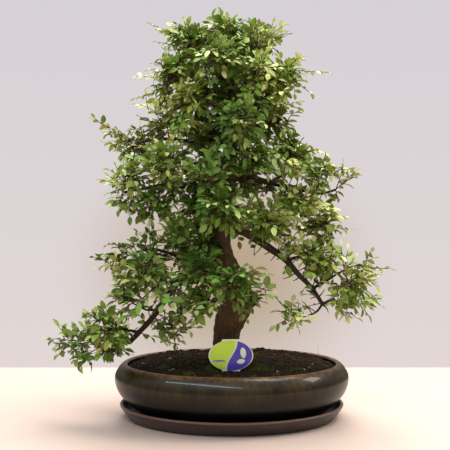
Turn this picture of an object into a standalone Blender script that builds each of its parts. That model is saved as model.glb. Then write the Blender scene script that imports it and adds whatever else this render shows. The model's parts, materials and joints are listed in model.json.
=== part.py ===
"""A Chinese elm bonsai: a tree with a curved trunk in a glazed oval pot, which stands in its drip saucer with
a plain plant label pushed into the soil. +Z is up and the front of the tree faces -Y. The origin is the centre
of the saucer's underside. Sizes below are in millimetres, and MM turns them into metres."""

import math
import random

import bmesh
import bpy
from mathutils import Matrix, Vector
from mathutils.bvhtree import BVHTree

MM = 0.001
GAP = 0.35  # left between pieces that touch
UP = Vector((0, 0, 1))

# Pot and saucer: ellipses in plan, given by half their length and half their width at the widest.
OVAL_SIDES = 28
POT_OVAL = (175.0, 132.0)
SAUCER_OVAL = (168.0, 126.0)

# Each profile is a list of (inset from the widest ellipse, height), from the underside, up the outside, over
# the rim and down the inside.
SAUCER_PROFILE = [
    (17, 0), (13.5, 1.6), (4, 14), (0.6, 20), (2.6, 21.8), (5.6, 20.8), (9, 12), (14, 5.5), (19, 4.5),
]
POT_OUTSIDE = [(40, 11), (30, 14), (12, 31), (3.5, 44), (0, 57), (1, 66), (5.5, 74), (10.5, 79.5)]
POT_RIM = [(14.5, 81.6), (18.3, 80.6), (19, 77.5)]
POT_INSIDE = [(14.5, 71.5), (9, 60), (11.5, 44), (24, 27), (46, 18.5)]
POT_FLOOR_Z = POT_INSIDE[-1][1]

FOOT_AT = (92.0, 58.0)  # the feet stand at plus and minus this X and Y
FOOT_SIZE = (34.0, 20.0)
FOOT_BASE_Z = SAUCER_PROFILE[-1][1] + GAP
FOOT_TOP_Z = 14.0

DRAIN_X = 75.0
DRAIN_RADIUS = 9.0
DRAIN_SIDES = 12
SCREEN_SIDE = 26.0
SCREEN_THICK = 1.2

SOIL_EDGE_Z = 72.0
SOIL_SIDE_GAP, SOIL_EDGE_GAP = 0.5, 0.75  # between the soil and the pot's wall, below and at the soil's edge
# Rings of the soil's top: (share of the ellipse, height, height of its lumps).
SOIL_TOP = [(0.965, 73.5, 0), (0.84, 74.5, 1.3), (0.6, 76.0, 1.6), (0.34, 82.0, 1.2)]

# The tree is planned on the upright plane through the pot, as seen from EYE. A plan point is (x, depth, z): x
# and z are read on that plane, and in_space() moves the point along its line of sight to its depth.
EYE = Vector((-10.0, -1150.0, 302.0))

TRUNK_SIDES = 12
TRUNK_LOBES = 0.05  # how far its flutes swell it, as a share of its radius
# (x, depth, z, radius) up the trunk, from its foot in the soil to the leader in the crown.
TRUNK = [
    (-8, 9, 52, 19), (-8, 8, 86, 25), (-8, 8, 98, 21.5), (-8, 7, 116, 20), (-6, 6, 134, 20.5),
    (1, 3, 152, 22.5), (9, 0, 171, 23), (7, -3, 192, 21.5), (-2, -4, 212, 19.5), (-12, 0, 234, 17.5),
    (-17, 6, 257, 16.2), (-19, 12, 279, 15.2), (-14, 14, 310, 14.2), (-8, 10, 340, 13.2), (-4, 3, 370, 11.8),
    (-2, -3, 402, 10.2), (-1, -6, 432, 8.8), (1, -5, 465, 7.0), (-2, 1, 500, 5.4), (-5, 4, 528, 3.8),
    (-8, 2, 552, 1.8),
]
FOOT_RINGS = 3  # the trunk's lowest rings, which stand in the soil's hole

# Limbs: name: (sides, first radius, last radius, [(x, depth, z), ...]). Each starts inside the wood that it
# grows from.
LIMBS = {
    "low_right": (6, 7.2, 2.3, [
        (-14, 10, 287), (18, -5, 277), (59, -20, 251), (82, -28, 234), (100, -34, 213), (121, -38, 192),
        (137, -42, 167)]),
    "low_right_up": (5, 2.8, 1.4, [(82, -28, 234), (103, -36, 240), (115, -40, 246), (138, -46, 260)]),
    "low_right_mid": (5, 2.3, 1.2, [(121, -38, 192), (136, -46, 199), (158, -52, 213), (178, -56, 224)]),
    "low_right_end": (5, 2.2, 1.1, [(137, -42, 168), (151, -40, 174), (164, -36, 166), (187, -30, 174)]),
    "low_right_drop": (5, 1.9, 1.0, [(137, -42, 169), (127, -44, 156), (108, -46, 149), (95, -44, 153)]),
    "low_right_top": (5, 4.2, 1.8, [(44, -15, 262), (61, -10, 281), (88, 0, 295), (118, 8, 304)]),
    "low_right_back": (5, 3.8, 1.6, [(32, -10, 269), (54, 25, 276), (86, 58, 271)]),
    "low_left": (6, 6.8, 2.4, [
        (-12, 0, 224), (-40, -22, 223), (-62, -38, 215), (-85, -48, 196), (-110, -52, 161), (-122, -50, 144),
        (-140, -44, 125), (-154, -38, 110)]),
    "low_left_end": (5, 2.3, 1.1, [(-153, -39, 111), (-175, -36, 107), (-197, -38, 113), (-226, -42, 108)]),
    "low_left_fork": (5, 2.2, 1.1, [(-140, -44, 125), (-161, -50, 131), (-182, -56, 141)]),
    "low_left_twig": (5, 2.0, 1.1, [(-110, -52, 161), (-127, -60, 159), (-148, -66, 169)]),
    "low_left_upper": (5, 2.3, 1.1, [(-77, -45, 203), (-109, -58, 197), (-134, -60, 176)]),
    "mid_low_left": (6, 6.0, 1.8, [
        (-17, 4, 233), (-43, 8, 231), (-64, 12, 228), (-89, 14, 243), (-122, 14, 251), (-149, 12, 243)]),
    "mid_left": (6, 7.0, 2.0, [
        (-8, 10, 328), (-47, 4, 337), (-89, -6, 348), (-130, -14, 342), (-163, -18, 336)]),
    "mid_left_front": (5, 3.4, 1.6, [(-86, -5, 347), (-105, -36, 366), (-116, -56, 381)]),
    "high_left": (6, 6.0, 1.8, [
        (-4, 3, 378), (-40, 14, 400), (-80, 26, 415), (-122, 36, 414), (-150, 40, 405)]),
    "mid_right": (6, 7.0, 1.8, [
        (-7, 6, 356), (28, 2, 351), (65, -6, 353), (100, -14, 345), (133, -18, 337), (156, -20, 340)]),
    "mid_right_back": (5, 3.2, 1.5, [(62, -5, 352), (86, 18, 368), (112, 34, 376)]),
    "high_right": (6, 5.2, 1.8, [(-2, -3, 408), (31, 6, 422), (60, 14, 438), (80, 18, 448)]),
    "crown_left": (5, 4.6, 1.6, [(0, -6, 450), (-32, -14, 469), (-62, -20, 490), (-84, -23, 504)]),
    "crown_right": (5, 4.2, 1.5, [(0, -4, 477), (28, -12, 496), (55, -18, 515), (72, -20, 525)]),
    "top_left": (5, 3.0, 1.3, [(-4, 2, 512), (-30, 8, 534), (-58, 10, 552)]),
    "top_right": (5, 2.9, 1.3, [(-4, 3, 520), (14, 12, 536), (38, 20, 550)]),
    "back_low": (6, 7.0, 2.0, [(-18, 10, 264), (0, 50, 276), (15, 95, 285), (24, 128, 292)]),
    "back_low_left": (5, 3.6, 1.6, [(-2, 47, 275), (-33, 82, 272), (-62, 108, 268)]),
    "back_left": (6, 6.0, 1.8, [(-12, 13, 324), (-40, 50, 341), (-70, 88, 350), (-88, 112, 353)]),
    "back_right": (6, 5.6, 1.8, [(-6, 6, 360), (25, 44, 372), (60, 84, 378), (80, 104, 379)]),
    "front_low": (6, 5.4, 1.8, [(4, -3, 197), (-3, -36, 205), (-10, -72, 204), (-13, -92, 200)]),
    "front_mid": (6, 6.0, 1.8, [(-15, 13, 302), (-12, -26, 318), (-16, -66, 326), (-20, -90, 332)]),
    "front_high": (5, 4.6, 1.6, [(-2, -3, 404), (6, -36, 420), (8, -64, 430)]),
    "back_high": (5, 4.6, 1.6, [(0, -6, 447), (-8, 34, 460), (-13, 66, 467)]),
    "crown_front": (5, 3.5, 1.4, [(-1, -2, 490), (-8, -34, 505), (-15, -58, 512)]),
    "crown_back": (5, 3.2, 1.3, [(-3, 3, 514), (2, 34, 524), (5, 56, 528)]),
}
TRUNK_NAME = "trunk"

# Sprays: name: (limb, leafy shoots, whether it has a tuft of short crowded leaves, plan point of its middle).
SPRAYS = {
    "crown_top": (TRUNK_NAME, 1, True, (-8, -6, 550)),
    "crown_top_left": ("top_left", 1, True, (-68, 12, 556)),
    "crown_top_right": ("top_right", 1, True, (52, 24, 556)),
    "crown_right": ("crown_right", 1, True, (72, -22, 518)),
    "crown_left": ("crown_left", 1, True, (-88, -24, 516)),
    "crown_front": ("crown_front", 1, True, (-22, -80, 522)),
    "crown_front_right": ("crown_right", 1, True, (46, -62, 528)),
    "crown_back": ("crown_back", 1, True, (6, 82, 526)),
    "crown_low_right": (TRUNK_NAME, 1, True, (48, -54, 478)),
    "crown_low_left": ("crown_left", 1, True, (-66, -54, 482)),
    "crown_low_back": (TRUNK_NAME, 1, True, (-50, 52, 500)),
    "high_left_out": ("high_left", 1, True, (-150, 44, 412)),
    "high_left_mid": ("high_left", 1, True, (-108, 30, 452)),
    "high_left_front": ("mid_left_front", 1, True, (-112, -74, 388)),
    "high_left_in": (TRUNK_NAME, 1, True, (-44, -40, 434)),
    "high_left_back": ("high_left", 1, True, (-52, 58, 420)),
    "high_right_out": ("high_right", 1, True, (66, 20, 452)),
    "high_right_in": (TRUNK_NAME, 1, True, (38, 44, 486)),
    "mid_left_out": ("mid_left", 1, True, (-156, -20, 352)),
    "mid_left_low": ("mid_left", 1, True, (-136, -42, 328)),
    "mid_left_in": ("mid_left", 1, True, (-62, -40, 360)),
    "mid_left_under": ("mid_left", 1, True, (-62, -30, 314)),
    "mid_right_out": ("mid_right", 1, True, (152, -22, 366)),
    "mid_right_back": ("mid_right_back", 1, True, (106, 46, 402)),
    "mid_right_front": ("mid_right", 1, True, (60, -54, 386)),
    "mid_right_low": ("mid_right", 1, True, (120, -52, 324)),
    "front_high": ("front_high", 1, True, (8, -92, 446)),
    "front_mid_left": ("front_mid", 1, True, (-50, -100, 364)),
    "front_mid": ("front_mid", 1, True, (-14, -114, 316)),
    "back_high": ("back_high", 1, True, (-14, 96, 466)),
    "back_left": ("back_left", 1, True, (-98, 134, 360)),
    "back_right": ("back_right", 1, True, (90, 128, 384)),
    "back_low": ("back_low", 1, True, (30, 154, 304)),
    "back_low_left": ("back_low_left", 1, True, (-76, 132, 276)),
    "low_right_in": ("low_right_top", 1, True, (66, -58, 300)),
    "low_right_top": ("low_right_top", 1, True, (130, 12, 296)),
    "low_right_mid": ("low_right_up", 1, True, (150, -46, 240)),
    "low_right_far": ("low_right_mid", 1, True, (172, -60, 208)),
    "low_right_end": ("low_right_end", 2, False, (188, -32, 174)),
    "low_right_drop": ("low_right_drop", 1, False, (92, -76, 150)),
    "low_right_back": ("low_right_back", 1, False, (100, 70, 268)),
    "mid_low_in": ("mid_low_left", 1, True, (-56, -24, 264)),
    "mid_low_top": ("mid_low_left", 1, True, (-94, 24, 250)),
    "mid_low_out": ("mid_low_left", 1, True, (-140, 12, 230)),
    "low_left_upper": ("low_left_upper", 1, True, (-136, -62, 208)),
    "low_left_fork": ("low_left_fork", 1, True, (-190, -58, 126)),
    "low_left_end": ("low_left_end", 1, False, (-234, -42, 112)),
    "low_left_shade": ("low_left", 1, False, (-96, -80, 196)),
    "low_left_hang": ("low_left", 1, False, (-88, -64, 136)),
    "front_low": ("front_low", 2, False, (-14, -112, 200)),
    "front_low_left": ("front_low", 1, True, (-60, -82, 224)),
    "front_low_hang": ("front_low", 1, True, (-56, -78, 170)),
    "front_low_right": (TRUNK_NAME, 1, False, (34, -60, 192)),
}
SPRAY_TRIES = 200
SPRAY_WANDER = 45.0  # how far its root may move along the limb by the last try
SPRAY_YAW = 60.0  # how far it may turn from straight out of the tree, in degrees
SPRAY_RISE = (-0.1, 0.6)  # how steeply it may rise
SPRAY_JITTER = 5.0  # how far its leaves may start from their planned place
TUFT_LEAD, PLAIN_LEAD = 30.0, 38.0  # its leaves start this far short of its middle
SQUARE_ON = 0.6  # how nearly square to its limb it leaves it, from 0 to 1
ROOT_PULL, ROOT_SPREAD = 0.3, 0.3  # how much its heading, and chance, turn the way it leaves the limb
PROBE, THICKEST = 45.0, 30.0  # its root is sought this far out, and lies within this of the limb's middle
STEM_SHORTEST = 12.0
STEM_SWELL = 0.8  # how much thicker the stem is at its root, as a share
STEM_CURVE = (0.35, 0.2, 30.0)  # its bend: shares along the bark's normal and ahead, of a length up to this
STRAIGHTEST = -0.5  # cosine of the sharpest turn from stem to rib
FORK_SHARE, FORK_STEM = 0.5, 5.0  # where on the stem the second shoot starts, and its own bare stem
FORK_YAW, FORK_RISE = (50, 85), (-0.1, 0.3)  # how far the second shoot turns and rises
FACE_UP, FACE_OUT, FACE_SPREAD = 0.5, 0.8, 0.6  # how much up, out of the tree, and chance, turn its leaves
FACE_LEAST = 0.25  # how nearly along its shoot they may face, from 0
SHORTEST_EDGE = 0.004
YOUNG_EVERY = 3  # every third spray has young leaves
CLEAR = 0.45  # kept between the sprays and from the wood

# A tuft: a small faceted core with a crowded leaf point on each face, shorter on the side of the wood.
TUFT_CORE = 18.0
TUFT_BACK, TUFT_FRONT = 25.0, 46.0  # how far its leaf points reach from its middle
TUFT_STEM = 27.0  # shortest stem that carries a tuft
TUFT_SIZES = (0.85, 1.1)
TUFT_JITTER = 6.5
TUFT_SHRINK = 0.6  # how much smaller it is by a spray's last try

# One shoot: a stem and flat rib with alternate leaves, cut out of one thin bent sheet.
PLAIN_SHOOTS = [(4.0, 7), (4.0, 6)]  # bare rib and side leaves of a spray's first shoot and of its second
TUFTED_SHOOT = (20.0, 4)
LEAF_STEP = 7.4
LEAF_LENGTH, LEAF_WIDTH = 22.0, 11.5
LEAF_SHOULDERS = (0.36, 0.52)  # how far along the blade its lower and its upper shoulder lie
LEAF_SIZES = (0.86, 1.12)
LEAF_LEAN = (48, 64)  # degrees from the rib
LEAF_LIFT = (-0.5, 0.4)  # how far a leaf's tip is raised, for each unit out
LEAF_CUP = 0.8
LEAF_THICK = 0.9
NECK = 2.0  # where a leaf joins the rib
RIB_ROOT, RIB_TIP = 1.0, 0.6  # half the rib's width
RIB_DROOP = 0.0016  # how far the rib bends down, times its length squared

# Plant label: an oval plate on a tapering stake.
LABEL_AT = (-1.5, -60.0)
LABEL_OVAL = (32.0, 23.0)
LABEL_CENTRE_Z = 101.5
LABEL_THICK = 1.4
LABEL_SIDES = 28
STAKE_WIDTH, STAKE_LENGTH = 9.0, 46.0
STAKE_POINT, STAKE_END = 14.0, 0.25  # length of the stake's tapered end, and its width as a share
LABEL_TURN, LABEL_LEAN = math.radians(3), math.radians(-5)

BARK = ("bark", (0.085, 0.058, 0.042), 0.85)
LEAF_OLD = ("leaf, old", (0.062, 0.15, 0.03), 0.5)
LEAF_YOUNG = ("leaf, young", (0.19, 0.31, 0.055), 0.5)
GLAZE = ("pot glaze", (0.07, 0.062, 0.034), 0.22)
SAUCER_CLAY = ("saucer clay", (0.075, 0.045, 0.034), 0.4)
SOIL_EARTH = ("soil", (0.045, 0.03, 0.02), 0.95)
LABEL_PLASTIC = ("label plastic", (0.58, 0.74, 0.1), 0.4)
SCREEN_PLASTIC = ("screen plastic", (0.03, 0.03, 0.03), 0.6)


def material(name, colour, roughness):
    """The named material, made the first time that it is asked for."""
    made = bpy.data.materials.get(name)
    if made is None:
        made = bpy.data.materials.new(name)
        made.use_nodes = True
        shader = made.node_tree.nodes["Principled BSDF"]
        shader.inputs["Base Color"].default_value = (*colour, 1)
        shader.inputs["Roughness"].default_value = roughness
        shader.inputs["Metallic"].default_value = 0
    return made


def add_object(name, points, faces, finish, origin=Vector(), smooth_angle=40):
    """An object from points in millimetres, placed at its own origin."""
    mesh = bpy.data.meshes.new(name)
    mesh.from_pydata([(p - origin) * MM for p in points], [], faces)
    mesh.materials.append(material(*finish))
    mesh.shade_smooth()
    mesh.set_sharp_from_angle(angle=math.radians(smooth_angle))
    made = bpy.data.objects.new(name, mesh)
    made.location = origin * MM
    bpy.context.scene.collection.objects.link(made)
    return made


def combine(target, others, operation, solver="EXACT"):
    """One Boolean of the target with a collection of other objects, which are used up."""
    group = bpy.data.collections.new(target.name + " pieces")
    bpy.context.scene.collection.children.link(group)
    for other in others:
        bpy.context.scene.collection.objects.unlink(other)
        group.objects.link(other)
    cut = target.modifiers.new("Combine", "BOOLEAN")
    cut.operation = operation
    cut.operand_type = "COLLECTION"
    cut.collection = group
    cut.solver = solver
    graph = bpy.context.evaluated_depsgraph_get()
    mesh = bpy.data.meshes.new_from_object(target.evaluated_get(graph))
    target.modifiers.clear()
    target.data = mesh
    for other in others:
        bpy.data.objects.remove(other)
    bpy.data.collections.remove(group)
    return target


def tube(rings):
    """(points, faces) of the closed body through rings of equal count, each counter-clockwise seen from ahead.
    Its sides are split into triangles, so that a piece and the hole cut for it are split alike."""
    count = len(rings[0])
    points = [p for ring in rings for p in ring]
    faces = [tuple(reversed(range(count)))]
    for r in range(len(rings) - 1):
        for i in range(count):
            near, near_next = r * count + i, r * count + (i + 1) % count
            far, far_next = near + count, near_next + count
            faces += [(near, near_next, far_next), (near, far_next, far)]
    faces.append(tuple((len(rings) - 1) * count + i for i in range(count)))
    return points, faces


def oval_ring(oval, inset, z, lumps=0.0):
    """One ring of an ellipse, with its height varied by a formula where lumps is given."""
    ring = []
    for i in range(OVAL_SIDES):
        turn = 2 * math.pi * i / OVAL_SIDES
        x, y = (oval[0] - inset) * math.cos(turn), (oval[1] - inset) * math.sin(turn)
        lump = math.sin(x / 13 + 1) * math.cos(y / 11) + 0.5 * math.sin((x + y) / 7)
        ring.append(Vector((x, y, z + lumps * lump)))
    return ring


def oval_body(name, oval, profile, finish):
    return add_object(name, *tube([oval_ring(oval, inset, z) for inset, z in profile]), finish)


def prism(outline, thick):
    """(points, faces) of a flat outline in X and Z, clockwise seen from the front, made thick along Y."""
    count = len(outline)
    points = [Vector((x, y, z)) for y in (thick / 2, -thick / 2) for x, z in outline]
    faces = [tuple(range(count)), tuple(reversed(range(count, 2 * count)))]
    for i in range(count):
        j = (i + 1) % count
        faces.append((j, i, count + i, count + j))
    return points, faces


def block(low, high):
    """(points, faces) of a box."""
    xs, ys, zs = zip(low, high)
    ring = [(xs[0], ys[0]), (xs[1], ys[0]), (xs[1], ys[1]), (xs[0], ys[1])]
    return tube([[Vector((x, y, z)) for x, y in ring] for z in zs])


def drain_body(x):
    """(points, faces) of an upright cylinder, cut out of the pot's floor for a drain hole."""
    turns = [2 * math.pi * i / DRAIN_SIDES for i in range(DRAIN_SIDES)]
    ring = [(x + DRAIN_RADIUS * math.cos(t), DRAIN_RADIUS * math.sin(t)) for t in turns]
    return tube([[Vector((px, py, z)) for px, py in ring] for z in (FOOT_BASE_Z, POT_FLOOR_Z + GAP)])


def in_space(plan_point):
    """The place of a plan point: moved from the middle plane to its depth, along the line from EYE."""
    x, depth, z = plan_point
    share = (depth - EYE.y) / -EYE.y
    return Vector((EYE.x + (x - EYE.x) * share, depth, EYE.z + (z - EYE.z) * share))


def limb_rings(line, radii, sides, lobes=0.0):
    """Rings square to a line of points. Lobes swell the rings here and there, as a trunk's flutes do."""
    rings = []
    across = Vector((0, 1, 0))
    for i, (at, radius) in enumerate(zip(line, radii)):
        along = (line[min(i + 1, len(line) - 1)] - line[max(i - 1, 0)]).normalized()
        across = (across - along * across.dot(along)).normalized()
        side = along.cross(across)
        ring = []
        for k in range(sides):
            turn = 2 * math.pi * k / sides
            swell = 1 + lobes * (math.sin(3 * turn + 0.35 * i) + 0.6 * math.cos(5 * turn - 0.5 * i))
            ring.append(at + (across * math.cos(turn) + side * math.sin(turn)) * radius * swell)
        rings.append(ring)
    return rings


def tapered(first, last, count):
    return [first + (last - first) * i / (count - 1) for i in range(count)]


TRUNK_LINE = [in_space(p[:3]) for p in TRUNK]
TRUNK_RADII = [p[3] for p in TRUNK]
LIMB_LINES = {TRUNK_NAME: (TRUNK_LINE, TRUNK_RADII)}
for limb_name, (_, first_radius, last_radius, plan_points) in LIMBS.items():
    limb_radii = tapered(first_radius, last_radius, len(plan_points))
    LIMB_LINES[limb_name] = ([in_space(p) for p in plan_points], limb_radii)


def make_wood():
    """The trunk and its limbs, grown as one piece. Its foot stands in the soil."""
    trunk_rings = limb_rings(TRUNK_LINE, TRUNK_RADII, TRUNK_SIDES, TRUNK_LOBES)
    wood = add_object("trunk_and_branches", *tube(trunk_rings), BARK)
    limbs = []
    for name, (sides, *_) in LIMBS.items():
        line, radii = LIMB_LINES[name]
        limbs.append(add_object(name, *tube(limb_rings(line, radii, sides)), BARK))
    return combine(wood, limbs, "UNION", "MANIFOLD")


def make_saucer():
    return oval_body("saucer", SAUCER_OVAL, SAUCER_PROFILE, SAUCER_CLAY)


def make_pot():
    """The pot: an oval bowl with its rim rolled in, four low feet and two drain holes."""
    pot = oval_body("pot", POT_OVAL, POT_OUTSIDE + POT_RIM + POT_INSIDE, GLAZE)
    feet = []
    for side_x in (-1, 1):
        for side_y in (-1, 1):
            x, y = side_x * FOOT_AT[0], side_y * FOOT_AT[1]
            low = (x - FOOT_SIZE[0] / 2, y - FOOT_SIZE[1] / 2, FOOT_BASE_Z)
            high = (x + FOOT_SIZE[0] / 2, y + FOOT_SIZE[1] / 2, FOOT_TOP_Z)
            feet.append(add_object("foot", *block(low, high), GLAZE))
    combine(pot, feet, "UNION")
    drains = [add_object("drain", *drain_body(x), GLAZE) for x in (-DRAIN_X, DRAIN_X)]
    return combine(pot, drains, "DIFFERENCE")


def make_screen(name, x):
    """A square of plastic mesh that keeps the soil out of a drain hole."""
    base_z = POT_FLOOR_Z + GAP
    top_z = base_z + SCREEN_THICK
    half, cell = SCREEN_SIDE / 2, SCREEN_SIDE / 5
    screen = add_object(name, *block((x - half, -half, base_z), (x + half, half, top_z)), SCREEN_PLASTIC)
    holes = []
    for i in (-1, 1):
        for j in (-1, 1):
            low = (x + i * cell - cell / 2, j * cell - cell / 2, base_z - 1)
            high = (x + i * cell + cell / 2, j * cell + cell / 2, top_z + 1)
            holes.append(add_object("mesh hole", *block(low, high), SCREEN_PLASTIC))
    return combine(screen, holes, "DIFFERENCE")


def label_outline(grow=0.0):
    """The label's outline, clockwise seen from the front, with its stake below the oval's lowest point."""
    half = STAKE_WIDTH / 2 + grow
    foot_z = -LABEL_OVAL[1] - STAKE_LENGTH - grow
    outline = [(-half * STAKE_END, foot_z), (-half, foot_z + STAKE_POINT)]
    gap_turn = math.asin(half / LABEL_OVAL[0])
    for i in range(LABEL_SIDES + 1):
        turn = -math.pi / 2 - gap_turn - (2 * math.pi - 2 * gap_turn) * i / LABEL_SIDES
        x, z = (LABEL_OVAL[0] + grow) * math.cos(turn), (LABEL_OVAL[1] + grow) * math.sin(turn)
        outline.append((x, z))
    outline += [(half, foot_z + STAKE_POINT), (half * STAKE_END, foot_z)]
    return outline


def label_place():
    """Where the label stands, with its slight turn and lean."""
    at = Matrix.Translation(Vector((*LABEL_AT, LABEL_CENTRE_Z)))
    return at @ Matrix.Rotation(LABEL_TURN, 4, "Z") @ Matrix.Rotation(LABEL_LEAN, 4, "X")


def label_body(name, grow, thick):
    points, faces = prism(label_outline(grow), thick)
    place = label_place()
    return add_object(name, [place @ p for p in points], faces, LABEL_PLASTIC)


def make_soil():
    """The soil: it fills the pot up to the rim, with a hole for the trunk and a slot for the label's stake."""
    rings = [oval_ring(POT_OVAL, POT_INSIDE[-1][0] + SOIL_SIDE_GAP, POT_FLOOR_Z + GAP)]
    rings += [oval_ring(POT_OVAL, inset + SOIL_SIDE_GAP, z) for inset, z in reversed(POT_INSIDE[1:-1])]
    edge_inset = POT_INSIDE[0][0] + SOIL_EDGE_GAP
    rings.append(oval_ring(POT_OVAL, edge_inset, SOIL_EDGE_Z))
    edge = (POT_OVAL[0] - edge_inset, POT_OVAL[1] - edge_inset)
    for share, z, lumps in SOIL_TOP:
        rings.append(oval_ring((edge[0] * share, edge[1] * share), 0, z, lumps))
    soil = add_object("soil", *tube(rings), SOIL_EARTH)
    foot_radii = [radius + GAP for radius in TRUNK_RADII[:FOOT_RINGS + 1]]
    foot_line = [TRUNK_LINE[0] - UP * GAP] + TRUNK_LINE[1:FOOT_RINGS + 1]
    foot_rings = limb_rings(foot_line, foot_radii, TRUNK_SIDES, TRUNK_LOBES)
    cutters = [
        add_object("trunk hole", *tube(foot_rings), SOIL_EARTH),
        label_body("label slot", GAP, LABEL_THICK + 2 * GAP),
    ]
    half = SCREEN_SIDE / 2 + GAP
    top_z = POT_FLOOR_Z + SCREEN_THICK + 2 * GAP
    for x in (-DRAIN_X, DRAIN_X):
        bed = block((x - half, -half, 0), (x + half, half, top_z))
        cutters.append(add_object("screen bed", *bed, SOIL_EARTH))
    return combine(soil, cutters, "DIFFERENCE")


def nearest_on_limb(limb, target):
    """The nearest point to the target on the limb's centre line, and the limb's direction there."""
    line = LIMB_LINES[limb][0]
    best = None
    for i in range(len(line) - 1):
        step = line[i + 1] - line[i]
        share = min(1.0, max(0.0, (target - line[i]).dot(step) / step.length_squared))
        at = line[i] + step * share
        if best is None or (target - at).length < (target - best[0]).length:
            best = (at, step.normalized())
    return best


def leaf_corners(base, forward, normal, basal, length, width):
    """The leaf's three free corners: its lower shoulder, its tip and its upper shoulder. Basal is the side of
    the blade that lies towards the shoot's root."""
    cup = normal * LEAF_CUP
    lower = base + forward * length * LEAF_SHOULDERS[0] + basal * width / 2 + cup
    upper = base + forward * length * LEAF_SHOULDERS[1] - basal * width / 2 + cup
    tip = base + forward * length - cup * 2
    return lower, tip, upper


def shoot(stem, along, face, bare, leaf_count, rng, grow=0.0):
    """(points, faces) of one leafy shoot: a stem that runs on as a flat rib with alternate leaves, cut from
    one thin bent sheet whose two faces are split alike. Grow makes the shoot bigger all round, for testing that
    it is clear of its neighbours."""
    side = along.cross(face).normalized()
    middle, offsets, triangles = [], [], []
    chains = {-1: [], 1: []}
    length = bare + LEAF_STEP * leaf_count

    def add(point, offset):
        middle.append(point)
        offsets.append(offset * (LEAF_THICK + grow) / 2)
        return len(middle) - 1

    def rib_point(s):
        return stem[-1] + along * s - UP * RIB_DROOP * s * s

    ways = [(b - a).normalized() for a, b in zip(stem, stem[1:])] + [along]
    for i, at in enumerate(stem):
        ahead = (ways[max(i - 1, 0)] + ways[i]).normalized()
        across = (side - ahead * side.dot(ahead)).normalized()
        swell = 1 + STEM_SWELL * (1 - i / (len(stem) - 1))
        for edge in (-1, 1):
            point = at + across * edge * (RIB_ROOT * swell + grow / 2)
            chains[edge].append((i - len(stem), add(point, across.cross(ahead) * swell)))
    for k in range(leaf_count):
        edge = 1 if k % 2 else -1
        s = bare + LEAF_STEP * k
        half_rib = side * edge * (RIB_ROOT + (RIB_TIP - RIB_ROOT) * s / length + grow / 2)
        lean = math.radians(rng.uniform(*LEAF_LEAN))
        out = (side * edge + face * rng.uniform(*LEAF_LIFT)).normalized()
        forward = along * math.cos(lean) + out * math.sin(lean)
        basal = along * -math.sin(lean) + out * math.cos(lean)
        blade_face = basal.cross(forward) * edge
        size = rng.uniform(*LEAF_SIZES)
        length_now, width_now = LEAF_LENGTH * size + grow, LEAF_WIDTH * size + grow
        corners = leaf_corners(rib_point(s) + half_rib, forward, blade_face, basal, length_now, width_now)
        near = add(rib_point(s - NECK / 2) + half_rib, face)
        lower, tip, upper = (add(corner, blade_face) for corner in corners)
        far = add(rib_point(s + NECK / 2) + half_rib, face)
        chains[edge] += [(s - NECK / 2, near), (s + NECK / 2, far)]
        blade = [(near, lower, far), (lower, upper, far), (lower, tip, upper)]
        triangles += [t if edge == -1 else t[::-1] for t in blade]
    for edge in (-1, 1):
        chains[edge].append((length, add(rib_point(length) + side * edge * RIB_TIP, face)))
    ahead = (rib_point(length + 1) - rib_point(length)).normalized()
    corners = leaf_corners(rib_point(length), ahead, face, -side, LEAF_LENGTH + grow, LEAF_WIDTH + grow)
    lower, tip, upper = (add(corner, face) for corner in corners)
    left_end, right_end = chains[-1][-1][1], chains[1][-1][1]
    triangles += [(left_end, lower, right_end), (lower, upper, right_end), (lower, tip, upper)]
    triangles += rib_triangles(chains[-1], chains[1])
    return thicken(middle, offsets, triangles)


def rib_triangles(left, right):
    """The triangles between a rib's two edges, each a list of (distance along, point number)."""
    triangles = []
    i = j = 0
    while i < len(left) - 1 or j < len(right) - 1:
        if j == len(right) - 1 or (i < len(left) - 1 and left[i + 1][0] <= right[j + 1][0]):
            triangles.append((left[i][1], left[i + 1][1], right[j][1]))
            i += 1
        else:
            triangles.append((left[i][1], right[j + 1][1], right[j][1]))
            j += 1
    return triangles


def thicken(middle, offsets, triangles):
    """(points, faces) of a thin closed body around a sheet of triangles, with its edge walled in."""
    count = len(middle)
    points = [p + o for p, o in zip(middle, offsets)] + [p - o for p, o in zip(middle, offsets)]
    above = [t[::-1] for t in triangles]
    faces = above + [tuple(count + i for i in t) for t in triangles]
    edges = [(t[k], t[(k + 1) % 3]) for t in above for k in range(3)]
    inner = set(edges)
    faces += [(b, a, count + a, count + b) for a, b in edges if (b, a) not in inner]
    return points, faces


def tuft(centre, heading, size, rng, grow=0.0):
    """(points, faces) of a tuft of short crowded leaves: a core with a leaf point drawn out of each face."""
    core = bmesh.new()
    bmesh.ops.create_icosphere(core, subdivisions=1, radius=TUFT_CORE * size + grow)
    poked = bmesh.ops.poke(core, faces=core.faces[:])
    for vert in poked["verts"]:
        out = vert.co.normalized()
        reach = TUFT_BACK + (TUFT_FRONT - TUFT_BACK) * (out.dot(heading) + 1) / 2
        vert.co = out * (reach * size * rng.uniform(*TUFT_SIZES) + grow) + jitter(rng, TUFT_JITTER)
    core.verts.index_update()
    points = [centre + v.co for v in core.verts]
    faces = [tuple(v.index for v in f.verts) for f in core.faces]
    core.free()
    return points, faces


def jitter(rng, size):
    return Vector([rng.uniform(-size, size) for _ in range(3)])


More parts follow.
